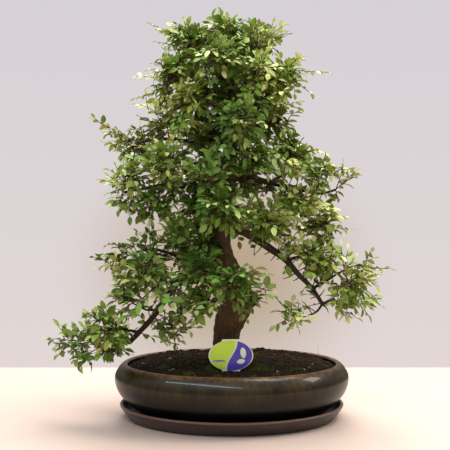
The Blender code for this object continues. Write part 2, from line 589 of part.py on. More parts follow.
def plan_spray(limb, shoots, tuft_size, middle, wander, rng, wood):
    """One try at a spray: for each shoot its stem, direction, face, bare length and leaf count. None if it
    can't start. Its first shoot is laid out so that its leaves lie round the spray's middle."""
    from_axis = Vector((middle.x, middle.y, 0)).normalized()
    yaw = math.radians(rng.uniform(-SPRAY_YAW, SPRAY_YAW))
    heading = (Matrix.Rotation(yaw, 3, "Z") @ from_axis + UP * rng.uniform(*SPRAY_RISE)).normalized()
    start = middle - heading * (TUFT_LEAD if tuft_size else PLAIN_LEAD) + jitter(rng, SPRAY_JITTER)
    on_limb, limb_along = nearest_on_limb(limb, start + jitter(rng, wander))
    outward = start - on_limb
    outward -= limb_along * outward.dot(limb_along) * SQUARE_ON
    outward = (outward.normalized() + heading * ROOT_PULL + jitter(rng, ROOT_SPREAD)).normalized()
    hit, hit_normal, _, _ = wood.ray_cast(on_limb + outward * PROBE, -outward)
    if hit is None or (hit - on_limb).length > THICKEST:
        return None
    root = hit + hit_normal * GAP
    shortest = TUFT_STEM * tuft_size or STEM_SHORTEST
    if (start - root).length < shortest:
        start = root + ((start - root).normalized() + hit_normal + heading).normalized() * shortest
    off_bark, ahead, longest = STEM_CURVE
    curve = min((start - root).length, longest)
    bend = root + (hit_normal * off_bark + (start - root).normalized() * ahead) * curve
    plans = []
    for k in range(shoots):
        turn = 0 if k == 0 else rng.choice((-1, 1)) * math.radians(rng.uniform(*FORK_YAW))
        along = (Matrix.Rotation(turn, 3, "Z") @ heading + UP * rng.uniform(*FORK_RISE) * k).normalized()
        face = UP * FACE_UP + from_axis * FACE_OUT + jitter(rng, FACE_SPREAD)
        face -= along * face.dot(along)
        fork = bend + (start - bend) * FORK_SHARE
        stem = [root, bend, start] if k == 0 else [fork, fork + along * FORK_STEM]
        if face.length < FACE_LEAST or (stem[-1] - stem[-2]).normalized().dot(along) < STRAIGHTEST:
            return None
        bare, leaf_count = TUFTED_SHOOT if tuft_size else PLAIN_SHOOTS[k]
        plans.append((stem, along, face.normalized(), bare, leaf_count))
    return plans


def is_sound(piece):
    """Splits the piece's faces into triangles, and tells whether its surface is all joined up, with no hollow
    sealed inside it, no loose scrap, no tiny edge and no place where it crosses itself."""
    shell = bmesh.new()
    shell.from_mesh(piece.data)
    bmesh.ops.triangulate(shell, faces=shell.faces)
    shell.to_mesh(piece.data)
    shell.verts.ensure_lookup_table()
    triangles = [set(f.verts) for f in shell.faces]
    tree = BVHTree.FromBMesh(shell)
    crossing = any(not triangles[a] & triangles[b] for a, b in tree.overlap(tree))
    seen = {shell.verts[0]}
    front = [shell.verts[0]]
    while front:
        vert = front.pop()
        for edge in vert.link_edges:
            other = edge.other_vert(vert)
            if other not in seen:
                seen.add(other)
                front.append(other)
    joined = len(seen) == len(shell.verts)
    shortest = min(edge.calc_length() for edge in shell.edges)
    shell.free()
    return joined and not crossing and shortest > SHORTEST_EDGE * MM


def spray_bodies(plans, tuft_size, seed, grow=0.0):
    """The closed bodies that make up a spray: its shoots, and its tuft where it has one."""
    bodies = [shoot(*plan, random.Random(seed + k), grow) for k, plan in enumerate(plans)]
    if tuft_size:
        stem, along, *_ = plans[0]
        bodies.append(tuft(stem[-1], along, tuft_size, random.Random(seed), grow))
    return bodies


def make_spray(name, number, wood, placed):
    """A leafy shoot or two, fused into one body. It is tried at several angles until it is clear of the wood
    and of the pieces already placed."""
    limb, shoots, tufted, plan_point = SPRAYS[name]
    middle = in_space(plan_point)
    for attempt in range(SPRAY_TRIES):
        rng = random.Random(f"{name} {attempt}")
        share = attempt / SPRAY_TRIES
        wander = SPRAY_WANDER * (0.2 + share)
        tuft_size = (1 - TUFT_SHRINK * share) * tufted
        plans = plan_spray(limb, shoots if share < 0.5 else 1, tuft_size, middle, wander, rng, wood)
        if plans is None:
            continue
        seed = rng.random()
        tests = [BVHTree.FromPolygons(*body) for body in spray_bodies(plans, tuft_size, seed, 2 * CLEAR)]
        if any(test.overlap(other) for test in tests for other in placed):
            continue
        finish = LEAF_YOUNG if number % YOUNG_EVERY == 0 else LEAF_OLD
        first, *others = spray_bodies(plans, tuft_size, seed)
        made = add_object("spray_" + name, *first, finish, origin=plans[0][0][0])
        if others:
            combine(made, [add_object("shoot", *body, finish) for body in others], "UNION", "MANIFOLD")
        if not is_sound(made):
            bpy.data.objects.remove(made)
            continue
        placed += [BVHTree.FromPolygons(*body) for body in (first, *others)]
        return made
    raise RuntimeError("No room for the spray " + name)


def surface_of(piece):
    """The piece's surface in millimetres, for finding where a ray meets it and what crosses it."""
    mesh = piece.data
    points = [(piece.location + v.co) / MM for v in mesh.vertices]
    return BVHTree.FromPolygons(points, [f.vertices for f in mesh.polygons])


def main():
    for old in list(bpy.data.objects):
        bpy.data.objects.remove(old)
    bonsai = bpy.data.objects.new("bonsai", None)
    bpy.context.scene.collection.objects.link(bonsai)
    wood = make_wood()
    made = [
        make_saucer(), make_pot(), make_soil(), make_screen("drain_screen_left", -DRAIN_X),
        make_screen("drain_screen_right", DRAIN_X), label_body("plant_label", 0.0, LABEL_THICK), wood,
    ]
    placed = [surface_of(piece) for piece in made]
    wood_surface = placed[-1]
    for number, name in enumerate(SPRAYS):
        made.append(make_spray(name, number, wood_surface, placed))
    for piece in made:
        piece.parent = bonsai


main()
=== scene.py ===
"""The looks of a Chinese elm bonsai in a glazed oval pot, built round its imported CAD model. Sizes are in
millimetres, and MM turns them into metres. The front of the tree faces -Y."""

import json
import math
import random

import bmesh
import bpy
import numpy as np
from mathutils import Matrix, Vector, noise
from mathutils.bvhtree import BVHTree


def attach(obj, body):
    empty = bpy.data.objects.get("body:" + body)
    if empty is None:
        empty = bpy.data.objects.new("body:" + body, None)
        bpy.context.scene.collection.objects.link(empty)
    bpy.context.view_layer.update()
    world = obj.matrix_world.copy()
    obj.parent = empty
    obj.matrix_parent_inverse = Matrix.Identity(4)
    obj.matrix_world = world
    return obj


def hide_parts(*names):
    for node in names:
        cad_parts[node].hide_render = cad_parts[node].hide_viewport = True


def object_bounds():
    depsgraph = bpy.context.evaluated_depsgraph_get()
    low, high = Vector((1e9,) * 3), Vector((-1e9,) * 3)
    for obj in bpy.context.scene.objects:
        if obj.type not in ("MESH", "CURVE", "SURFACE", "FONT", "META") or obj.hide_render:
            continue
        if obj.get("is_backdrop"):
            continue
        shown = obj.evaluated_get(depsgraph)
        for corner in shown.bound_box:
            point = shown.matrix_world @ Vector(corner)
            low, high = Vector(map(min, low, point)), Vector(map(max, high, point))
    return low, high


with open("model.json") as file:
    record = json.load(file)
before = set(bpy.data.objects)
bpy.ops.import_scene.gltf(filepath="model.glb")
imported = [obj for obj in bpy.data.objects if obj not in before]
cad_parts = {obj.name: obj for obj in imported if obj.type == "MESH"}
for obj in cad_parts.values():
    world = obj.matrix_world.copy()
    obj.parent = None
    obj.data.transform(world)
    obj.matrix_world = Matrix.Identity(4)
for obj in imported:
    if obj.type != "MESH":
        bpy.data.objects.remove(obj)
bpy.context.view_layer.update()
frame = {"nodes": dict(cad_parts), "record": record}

# The photographer stands a little over a metre away, at the height of the crown's middle, and looks level. The
# tree stands on a pale table before a pale wall. The light comes from above it, and so its front is in shade.
MM = 0.001
UP = Vector((0, 0, 1))
EYE = Vector((-10, -1150, 302))
LENS = 61.25
VIEW_DOWN = math.radians(0.748)
TABLE_BACK_EDGE = 361
TABLE_SIZE = 2600
TABLE_COLOUR = (0.605, 0.475, 0.41)
WALL_HIGH, WALL_LOW = (0.68, 0.64, 0.68), (0.76, 0.68, 0.66)
WALL_SHADE = (0.49, 0.38, 0.26)  # where the tree keeps the light off the wall
ROOM_LIGHT, ROOM_SHADE = (0.86, 0.84, 0.86), (0.11, 0.10, 0.085)
# Each lamp: its place, its width and depth, its power in watts and its colour.
LAMPS = {
    "ceiling_light": ((260, 500, 2300), 2400, 1500, 110.0, (1.0, 0.98, 0.92)),
    "ceiling_tube": ((-560, -1000, 1540), 1900, 110, 11.5, (0.86, 0.95, 1.0)),
    "side_light": ((1350, -60, 1250), 420, 420, 8.5, (1.0, 0.93, 0.82)),
}

scene = bpy.context.scene
scene.view_settings.view_transform = "Standard"


def add_node(tree, kind, inputs=None, **settings):
    """Adds a node, with its inputs given as values or as the sockets that feed them."""
    made = tree.nodes.new(kind)
    for setting, value in settings.items():
        setattr(made, setting, value)
    for key, value in (inputs or {}).items():
        if isinstance(value, bpy.types.NodeSocket):
            tree.links.new(value, made.inputs[key])
        else:
            made.inputs[key].default_value = value
    return made


def mix_colours(tree, share, low, high):
    """A colour between two, each a socket or a plain colour."""
    low = low if isinstance(low, bpy.types.NodeSocket) else (*low, 1)
    high = high if isinstance(high, bpy.types.NodeSocket) else (*high, 1)
    mixer = add_node(tree, "ShaderNodeMix", {0: share, 6: low, 7: high}, data_type="RGBA")
    return mixer.outputs[2]


def new_material(name, roughness, specular=0.5, coat=0.0, coat_roughness=0.1):
    """A material with its tree, its shader and its Object coordinates."""
    made = bpy.data.materials.new(name)
    made.use_nodes = True
    tree = made.node_tree
    shader = tree.nodes["Principled BSDF"]
    shader.inputs["Roughness"].default_value = roughness
    shader.inputs["Specular IOR Level"].default_value = specular
    shader.inputs["Coat Weight"].default_value = coat
    shader.inputs["Coat Roughness"].default_value = coat_roughness
    place = add_node(tree, "ShaderNodeTexCoord").outputs["Object"]
    return made, tree, shader, place


def add_mesh(name, points, faces, finish, smooth_angle=None):
    """An object at the origin from points in millimetres."""
    mesh = bpy.data.meshes.new(name)
    mesh.from_pydata([p * MM for p in points], [], faces)
    mesh.materials.append(finish)
    mesh.shade_smooth()
    if smooth_angle:
        mesh.set_sharp_from_angle(angle=math.radians(smooth_angle))
    made = bpy.data.objects.new(name, mesh)
    scene.collection.objects.link(made)
    return made


camera = bpy.data.objects.new("camera", bpy.data.cameras.new("camera"))
camera.data.lens = LENS
camera.location = EYE * MM
camera.rotation_euler = (math.pi / 2 - VIEW_DOWN, 0, 0)
scene.collection.objects.link(camera)
scene.camera = camera

for name, (at, width, depth, power, colour) in LAMPS.items():
    lamp = bpy.data.objects.new(name, bpy.data.lights.new(name, "AREA"))
    lamp.data.shape = "RECTANGLE"
    lamp.data.size = width * MM
    lamp.data.size_y = depth * MM
    lamp.data.energy = power
    lamp.data.color = colour
    lamp.location = Vector(at) * MM
    lamp.rotation_euler = (lamp.location - Vector((0, 0, 0.25))).to_track_quat("Z", "Y").to_euler()
    scene.collection.objects.link(lamp)

world = bpy.data.worlds.new("room")
world.use_nodes = True
scene.world = world
tree = world.node_tree
direction = add_node(tree, "ShaderNodeTexCoord").outputs["Generated"]
height = add_node(tree, "ShaderNodeSeparateXYZ", {0: direction}).outputs["Z"]
wall_share = add_node(tree, "ShaderNodeMapRange", {"Value": height, "From Min": -0.2, "From Max": 0.25})
wall_colour = mix_colours(tree, wall_share.outputs[0], WALL_LOW, WALL_HIGH)
behind_tree = add_node(tree, "ShaderNodeMapping", {
    "Vector": direction, "Location": (0.0, -4.2, 0.4), "Scale": (4.6, 4.2, 5.4)}).outputs[0]
from_tree = add_node(tree, "ShaderNodeVectorMath", {0: behind_tree}, operation="LENGTH").outputs["Value"]
shade_share = add_node(tree, "ShaderNodeMapRange", {
    "Value": from_tree, "From Min": 1.05, "From Max": 0.1}, interpolation_type="SMOOTHSTEP")
wall_colour = mix_colours(tree, shade_share.outputs[0], wall_colour, WALL_SHADE)
room_share = add_node(tree, "ShaderNodeMapRange", {"Value": height, "From Min": -0.1, "From Max": 0.9})
room_colour = mix_colours(tree, room_share.outputs[0], ROOM_SHADE, ROOM_LIGHT)
seen = add_node(tree, "ShaderNodeLightPath").outputs["Is Camera Ray"]
background = tree.nodes["Background"]
tree.links.new(mix_colours(tree, seen, room_colour, wall_colour), background.inputs["Color"])

table_top, tree, shader, place = new_material("table top", 0.5, specular=0.3)
grain = add_node(tree, "ShaderNodeTexNoise", {"Vector": place, "Scale": 30.0, "Detail": 3.0})
pale = tuple(c * 0.97 for c in TABLE_COLOUR)
tree.links.new(mix_colours(tree, grain.outputs[0], pale, TABLE_COLOUR), shader.inputs["Base Color"])
table_points = [
    Vector((x, y, 0))
    for x, y in (
        (-TABLE_SIZE, -TABLE_SIZE), (TABLE_SIZE, -TABLE_SIZE), (TABLE_SIZE, TABLE_BACK_EDGE),
        (-TABLE_SIZE, TABLE_BACK_EDGE))
]
table = add_mesh("table", table_points, [(0, 1, 2, 3)], table_top)
table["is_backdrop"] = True

# The drip saucer: an oval dish of dark red-brown stoneware, pressed in a mould and fired with a thin satin slip.
# The pot stands loose in it on four feet.
SAUCER_OVAL = (168, 126)
# (inset from the widest ellipse, height), from the underside, up the outside, over the rim and down the inside.
SAUCER_PROFILE = [
    (17, 0), (13.5, 1.6), (4, 14), (0.6, 20), (2.6, 21.8), (5.6, 20.8), (9, 12), (14, 5.5), (19, 4.5),
]
OVAL_SEGMENTS = 180
PROFILE_STEPS = 5


def smooth_line(points, steps):
    """A smooth curve through points or numbers, with each stretch split into steps."""
    line = []
    last = len(points) - 1
    for i in range(last):
        a, b, c, d = points[max(i - 1, 0)], points[i], points[i + 1], points[min(i + 2, last)]
        for k in range(steps):
            t = k / steps
            bend = (a * 2 - b * 5 + c * 4 - d) * t * t + (b * 3 - a - c * 3 + d) * t * t * t
            line.append((b * 2 + (c - a) * t + bend) * 0.5)
    line.append(points[last])
    return line


def oval_rings(oval, profile):
    """Rings of an oval body, with its profile smoothed."""
    turns = [2 * math.pi * i / OVAL_SEGMENTS for i in range(OVAL_SEGMENTS)]
    rings = []
    for inset, z in smooth_line([Vector(p) for p in profile], PROFILE_STEPS):
        rings.append([
            Vector(((oval[0] - inset) * math.cos(t), (oval[1] - inset) * math.sin(t), z)) for t in turns])
    return rings


def tube(rings):
    """(points, faces) of the closed body through rings of equal count, each counter-clockwise from ahead."""
    count = len(rings[0])
    faces = [tuple(reversed(range(count)))]
    for r in range(len(rings) - 1):
        for i in range(count):
            near, near_next = r * count + i, r * count + (i + 1) % count
            faces.append((near, near_next, near_next + count, near + count))
    faces.append(tuple((len(rings) - 1) * count + i for i in range(count)))
    return [p for ring in rings for p in ring], faces


def keep(piece, slot, *nodes):
    """Fixes a finished piece to the model's one body, in place of the CAD nodes named."""
    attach(piece, "root")
    if nodes:
        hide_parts(*nodes)


# Cloudy noise between two colours, which the clay, the soil and the bark all show.
clouds = bpy.data.node_groups.new("Clouded colour", "ShaderNodeTree")
clouds.interface.new_socket("Vector", in_out="INPUT", socket_type="NodeSocketVector")
clouds.interface.new_socket("Scale", in_out="INPUT", socket_type="NodeSocketFloat")
clouds.interface.new_socket("Contrast", in_out="INPUT", socket_type="NodeSocketFloat")
clouds.interface.new_socket("Dark", in_out="INPUT", socket_type="NodeSocketColor")
clouds.interface.new_socket("Light", in_out="INPUT", socket_type="NodeSocketColor")
clouds.interface.new_socket("Colour", in_out="OUTPUT", socket_type="NodeSocketColor")
clouds.interface.new_socket("Height", in_out="OUTPUT", socket_type="NodeSocketFloat")
given = add_node(clouds, "NodeGroupInput").outputs
cloud = add_node(clouds, "ShaderNodeTexNoise", {
    "Vector": given["Vector"], "Scale": given["Scale"], "Detail": 6.0, "Roughness": 0.62})
centred = add_node(clouds, "ShaderNodeMath", {0: cloud.outputs[0], 1: 0.5}, operation="SUBTRACT")
stretched = add_node(clouds, "ShaderNodeMath", {
    0: centred.outputs[0], 1: given["Contrast"], 2: 0.5}, operation="MULTIPLY_ADD", use_clamp=True)
cloud_colour = add_node(clouds, "ShaderNodeMix", {
    0: stretched.outputs[0], 6: given["Dark"], 7: given["Light"]}, data_type="RGBA")
result = add_node(clouds, "NodeGroupOutput", {
    "Colour": cloud_colour.outputs[2], "Height": stretched.outputs[0]})


def clouded(tree, vector, scale, contrast, dark, light):
    """The Clouded colour group, placed in a material."""
    placed = tree.nodes.new("ShaderNodeGroup")
    placed.node_tree = clouds
    tree.links.new(vector, placed.inputs["Vector"])
    placed.inputs["Scale"].default_value = scale
    placed.inputs["Contrast"].default_value = contrast
    placed.inputs["Dark"].default_value = (*dark, 1)
    placed.inputs["Light"].default_value = (*light, 1)
    return placed.outputs


def bump(tree, shader, height, strength, distance):
    """Feeds the shader's normal from a height, in millimetres of relief."""
    relief = add_node(tree, "ShaderNodeBump", {
        "Height": height, "Strength": strength, "Distance": distance * MM})
    tree.links.new(relief.outputs[0], shader.inputs["Normal"])


def stretch(tree, vector, scale):
    """Object coordinates scaled differently along each axis."""
    return add_node(tree, "ShaderNodeMapping", {"Vector": vector, "Scale": scale}).outputs[0]


saucer_slip, tree, shader, place = new_material("saucer slip", 0.38, coat=0.15, coat_roughness=0.3)
slip = clouded(tree, place, 55.0, 1.8, (0.012, 0.0065, 0.0055), (0.038, 0.019, 0.015))
z = add_node(tree, "ShaderNodeSeparateXYZ", {0: place}).outputs["Z"]
# The slip turns paler over the lip.
lip = add_node(tree, "ShaderNodeMapRange", {"Value": z, "From Min": 18.5 * MM, "From Max": 21.5 * MM}).outputs[0]
paler_lip = mix_colours(tree, lip, slip["Colour"], (0.17, 0.09, 0.065))
tree.links.new(paler_lip, shader.inputs["Base Color"])
pits = add_node(tree, "ShaderNodeTexNoise", {"Vector": place, "Scale": 700.0, "Detail": 2.0})
bump(tree, shader, pits.outputs[0], 0.25, 0.3)
saucer = add_mesh("drip_saucer", *tube(oval_rings(SAUCER_OVAL, SAUCER_PROFILE)), saucer_slip, 50)
keep(saucer, "saucer_clay", "saucer")

# The pot: a press-moulded oval stoneware bowl with its rim rolled in, four low feet and two drain holes. Its olive
# and brown glaze runs down in streaks and thins to orange-brown on the rim. Painted shade makes it almost black below.
POT_OVAL = (175, 132)
POT_OUTSIDE = [(40, 11), (30, 14), (12, 31), (3.5, 44), (0, 57), (1, 66), (5.5, 74), (10.5, 79.5)]
POT_RIM = [(14.5, 81.6), (18.3, 80.6), (19, 77.5)]
POT_INSIDE = [(14.5, 71.5), (9, 60), (11.5, 44), (24, 27), (46, 18.5)]
FOOT_AT = (92, 58)
FOOT_SIZE = (34, 20)
FOOT_BASE, FOOT_TOP = 4.85, 14
FOOT_ROUND = 2.5
DRAIN_AT, DRAIN_RADIUS, DRAIN_SIDES = 75, 9, 32


def block(low, high):
    """(points, faces) of a box."""
    (x0, y0, z0), (x1, y1, z1) = low, high
    ring = [(x0, y0), (x1, y0), (x1, y1), (x0, y1)]
    return tube([[Vector((x, y, z)) for x, y in ring] for z in (z0, z1)])


def settle(piece):
    """Turns a piece's modifiers into its own mesh."""
    graph = bpy.context.evaluated_depsgraph_get()
    mesh = bpy.data.meshes.new_from_object(piece.evaluated_get(graph))
    piece.modifiers.clear()
    piece.data = mesh


def combine(target, others, operation):
    """One Boolean of the target with other objects, which are used up."""
    group = bpy.data.collections.new("cutters")
    scene.collection.children.link(group)
    for other in others:
        scene.collection.objects.unlink(other)
        group.objects.link(other)
    cut = target.modifiers.new("Combine", "BOOLEAN")
    cut.operation = operation
    cut.operand_type = "COLLECTION"
    cut.collection = group
    cut.solver = "EXACT"
    settle(target)
    for other in others:
        bpy.data.objects.remove(other)
    bpy.data.collections.remove(group)


glaze, tree, shader, place = new_material("pot glaze", 0.36, specular=0.17, coat=0.24, coat_roughness=0.06)
z = add_node(tree, "ShaderNodeSeparateXYZ", {0: place}).outputs["Z"]
streaks = clouded(tree, stretch(tree, place, (1, 1, 0.16)), 190.0, 2.2, (0.011, 0.0085, 0.003), (0.056, 0.040, 0.010))
patches = clouded(tree, stretch(tree, place, (1, 1, 0.5)), 26.0, 2.4, (0.35, 0.35, 0.35), (1.25, 1.2, 1.1))
body = add_node(tree, "ShaderNodeMix", {0: 1.0, 6: streaks["Colour"], 7: patches["Colour"]},
                data_type="RGBA", blend_type="MULTIPLY").outputs[2]
# Painted shade: the glaze turns almost black below the belly, where the body turns under towards the saucer.
foot = add_node(tree, "ShaderNodeMapRange", {"Value": z, "From Min": 34 * MM, "From Max": 68 * MM}).outputs[0]
body = mix_colours(tree, foot, (0.003, 0.003, 0.003), body)
drip = add_node(tree, "ShaderNodeMath", {
    0: streaks["Height"], 1: 5 * MM, 2: z}, operation="MULTIPLY_ADD").outputs[0]
rim = add_node(tree, "ShaderNodeMapRange", {"Value": drip, "From Min": 79 * MM, "From Max": 84.5 * MM}).outputs[0]
rim_wear = clouded(tree, place, 60.0, 3.5, (0.055, 0.030, 0.014), (0.21, 0.095, 0.032))
body = mix_colours(tree, rim, body, rim_wear["Colour"])
tree.links.new(body, shader.inputs["Base Color"])
ripple = add_node(tree, "ShaderNodeTexNoise", {"Vector": place, "Scale": 120.0, "Detail": 2.0})
bump(tree, shader, ripple.outputs[0], 0.12, 0.6)

pot = add_mesh("pot_body", *tube(oval_rings(POT_OVAL, POT_OUTSIDE + POT_RIM + POT_INSIDE)), glaze, 50)
feet = []
for x in (-FOOT_AT[0], FOOT_AT[0]):
    for y in (-FOOT_AT[1], FOOT_AT[1]):
        low = (x - FOOT_SIZE[0] / 2, y - FOOT_SIZE[1] / 2, FOOT_BASE)
        high = (x + FOOT_SIZE[0] / 2, y + FOOT_SIZE[1] / 2, FOOT_TOP)
        foot_block = add_mesh("foot", *block(low, high), glaze)
        rounding = foot_block.modifiers.new("Round", "BEVEL")
        rounding.width = FOOT_ROUND * MM
        rounding.segments = 3
        settle(foot_block)
        feet.append(foot_block)
combine(pot, feet, "UNION")
drains = []
for x in (-DRAIN_AT, DRAIN_AT):
    turns = [2 * math.pi * i / DRAIN_SIDES for i in range(DRAIN_SIDES)]
    ring = [(x + DRAIN_RADIUS * math.cos(t), DRAIN_RADIUS * math.sin(t)) for t in turns]
    rings = [[Vector((px, py, z)) for px, py in ring] for z in (0, 22)]
    drains.append(add_mesh("drain", *tube(rings), glaze))
combine(pot, drains, "DIFFERENCE")
pot.data.set_sharp_from_angle(angle=math.radians(50))
keep(pot, "pot_glaze", "pot")

# The drain screens: squares of black moulded plastic mesh, laid loose over the drain holes under the soil. Their
# CAD shape is right, so they only get their plastic.
screen_plastic, tree, shader, place = new_material("screen plastic", 0.6)
grit = clouded(tree, place, 400.0, 1.5, (0.012, 0.012, 0.012), (0.045, 0.042, 0.04))
tree.links.new(grit["Colour"], shader.inputs["Base Color"])
for name in ("drain_screen_left", "drain_screen_right"):
    frame["nodes"][name].data.materials.clear()
    frame["nodes"][name].data.materials.append(screen_plastic)

# The soil: moist dark compost with fine grit, filled to just under the rim and mounded towards the trunk. Crumbs
# and small stones lie loose on it, and moss and a few weeds have come up.
SOIL_OVAL = (159.75, 116.75)  # at its edge, where it meets the pot's wall
SOIL_BASE, SOIL_SIDE_INSET, SOIL_EDGE = 18.85, 46.5, 72
# Its top: (share of the ellipse, height) from the edge to the middle.
SOIL_TOP = [(1, 72.5), (0.965, 75.5), (0.9, 77.5), (0.84, 78), (0.6, 79.5), (0.34, 83), (0, 84)]
SOIL_HEAP = 8  # how much higher it lies along the back
SOIL_RINGS, SOIL_SEGMENTS = 56, 168
CRUMB_SIZES = (0.6, 3.9)
CRUMB_DENSITY = 100000
# Each stone: (x, y, radius). Each moss cushion: (x, y, half its width, half its depth).
STONES = [
    (-133, -4, 2.6), (-85, -48, 2.2), (64, -70, 1.7), (-52, -88, 1.6), (120, -8, 1.8), (12, 62, 2.2), (-96, 40, 1.9)]
MOSS = [
    (-28, -48, 10, 17), (41, -47, 15, 16), (-62, -74, 9, 9), (88, -52, 9, 8), (-100, -36, 8, 8), (20, 70, 16, 10),
    (62, -84, 6, 5), (-20, -92, 7, 5), (112, -30, 6, 6), (70, -20, 7, 8), (-118, -14, 6, 7), (-74, -20, 6, 6),
    (124, 10, 5, 6), (30, -96, 5, 4), (96, 20, 7, 7), (-44, -16, 6, 7)]
WEEDS = [(112, -41), (104, -52), (-88, -60), (66, -64)]


def soil_height(x, y):
    """The soil's height, with its lumps."""
    share = math.hypot(x / SOIL_OVAL[0], y / SOIL_OVAL[1])
    shares, heights = zip(*reversed(SOIL_TOP))
    lump = noise.noise(Vector((x, y, 0)) / 17) * 2.6 + noise.noise(Vector((x, y, 40)) / 6) * 1.5
    heap = SOIL_HEAP * math.exp(-(((share - 0.90) / 0.05) ** 2)) * min(1, max(0, (y - 20) / 50))
    heap *= 0.75 + 0.5 * noise.noise(Vector((x, y, 90)) / 8)
    return float(np.interp(share, shares, heights)) + heap + lump * min(1, max(0, (0.99 - share) * 12))


soil_earth, tree, shader, place = new_material("soil", 0.95, specular=0.12)
earth = clouded(tree, place, 260.0, 2.2, (0.004, 0.0026, 0.0013), (0.028, 0.015, 0.007))
tree.links.new(earth["Colour"], shader.inputs["Base Color"])
bump(tree, shader, earth["Height"], 0.7, 1.2)

turns = [2 * math.pi * i / SOIL_SEGMENTS for i in range(SOIL_SEGMENTS)]
rings = []
for inset, z in ((SOIL_SIDE_INSET, SOIL_BASE), (24.5, 27), (12, 44), (9.5, 60)):
    rings.append([
        Vector(((POT_OVAL[0] - inset) * math.cos(t), (POT_OVAL[1] - inset) * math.sin(t), z)) for t in turns])
for r in range(SOIL_RINGS):
    share = 1 - r / SOIL_RINGS
    ring = []
    for t in turns:
        x, y = SOIL_OVAL[0] * share * math.cos(t), SOIL_OVAL[1] * share * math.sin(t)
        ring.append(Vector((x, y, soil_height(x, y))))
    rings.append(ring)
soil = add_mesh("soil_bed", *tube(rings), soil_earth)

crumb_earth, tree, shader, place = new_material("soil crumbs", 0.95, specular=0.12)
tone = add_node(tree, "ShaderNodeAttribute", attribute_name="tone").outputs["Fac"]
ramp = add_node(tree, "ShaderNodeValToRGB", {0: tone})
ramp.color_ramp.elements[0].color = (0.005, 0.003, 0.0015, 1)
ramp.color_ramp.elements[1].color = (0.22, 0.125, 0.055, 1)
for at, colour in ((0.6, (0.022, 0.012, 0.006, 1)), (0.92, (0.065, 0.036, 0.018, 1))):
    ramp.color_ramp.elements.new(at).color = colour
tree.links.new(ramp.outputs[0], shader.inputs["Base Color"])


def lump_object(name, seed, flat):
    """A small irregular stone, one unit across."""
    rng = random.Random(seed)
    shape = bmesh.new()
    bmesh.ops.create_icosphere(shape, subdivisions=1, radius=0.5)
    for vert in shape.verts:
        vert.co *= rng.uniform(0.72, 1.15)
        vert.co.z *= flat
    mesh = bpy.data.meshes.new(name)
    shape.to_mesh(mesh)
    shape.free()
    made = bpy.data.objects.new(name, mesh)
    return made


def new_group(name, sockets):
    """A Geometry Nodes tree with a mesh in and out, and named inputs: (name, socket type)."""
    group = bpy.data.node_groups.new(name, "GeometryNodeTree")
    group.interface.new_socket("Geometry", in_out="INPUT", socket_type="NodeSocketGeometry")
    for socket, kind in sockets:
        group.interface.new_socket(socket, in_out="INPUT", socket_type=kind)
    group.interface.new_socket("Geometry", in_out="OUTPUT", socket_type="NodeSocketGeometry")
    return group, add_node(group, "NodeGroupInput").outputs


def run_group(piece, group, **values):
    """Runs a Geometry Nodes tree on a piece and keeps the plain mesh that it makes."""
    modifier = piece.modifiers.new(group.name, "NODES")
    modifier.node_group = group
    identifiers = {
        item.name.lower().replace(" ", "_"): item.identifier
        for item in group.interface.items_tree if item.in_out == "INPUT"
    }
    for key, value in values.items():
        modifier[identifiers[key]] = value
    settle(piece)


def random_number(tree, low, high, seed):
    """A random number for each element."""
    made = add_node(tree, "FunctionNodeRandomValue", {2: low, 3: high, 8: seed}, data_type="FLOAT")
    return made.outputs[1]


scatter, given = new_group("Scattered crumbs", [
    ("Crumb", "NodeSocketObject"), ("Density", "NodeSocketFloat"), ("Smallest", "NodeSocketFloat"),
    ("Largest", "NodeSocketFloat"), ("Sink", "NodeSocketFloat"), ("Seed", "NodeSocketInt"),
    ("Finish", "NodeSocketMaterial"),
])
points = add_node(scatter, "GeometryNodeDistributePointsOnFaces", {
    "Mesh": given["Geometry"], "Density": given["Density"], "Seed": given["Seed"]}, distribute_method="RANDOM")
power = add_node(scatter, "ShaderNodeMath", {0: random_number(scatter, 0.0, 1.0, 3), 1: 3.0}, operation="POWER")
size = add_node(scatter, "ShaderNodeMapRange", {
    "Value": power.outputs[0], "To Min": given["Smallest"], "To Max": given["Largest"]})
turn = add_node(scatter, "FunctionNodeRandomValue", {0: (0, 0, 0), 1: (6.283, 6.283, 6.283), 8: 5},
                data_type="FLOAT_VECTOR")
crumb_shape = add_node(scatter, "GeometryNodeObjectInfo", {"Object": given["Crumb"]}, transform_space="ORIGINAL")
crumbs = add_node(scatter, "GeometryNodeInstanceOnPoints", {
    "Points": points.outputs["Points"], "Instance": crumb_shape.outputs["Geometry"],
    "Rotation": turn.outputs[0], "Scale": size.outputs[0]})
sunk = add_node(scatter, "ShaderNodeCombineXYZ", {"Z": given["Sink"]})
lowered = add_node(scatter, "GeometryNodeTranslateInstances", {
    "Instances": crumbs.outputs[0], "Translation": sunk.outputs[0], "Local Space": False})
toned = add_node(scatter, "GeometryNodeStoreNamedAttribute", {
    "Geometry": lowered.outputs[0], "Name": "tone", "Value": random_number(scatter, 0.0, 1.0, 11)},
    data_type="FLOAT", domain="INSTANCE")
real = add_node(scatter, "GeometryNodeRealizeInstances", {"Geometry": toned.outputs[0]})
finished = add_node(scatter, "GeometryNodeSetMaterial", {
    "Geometry": real.outputs[0], "Material": given["Finish"]})
add_node(scatter, "NodeGroupOutput", {"Geometry": finished.outputs[0]})

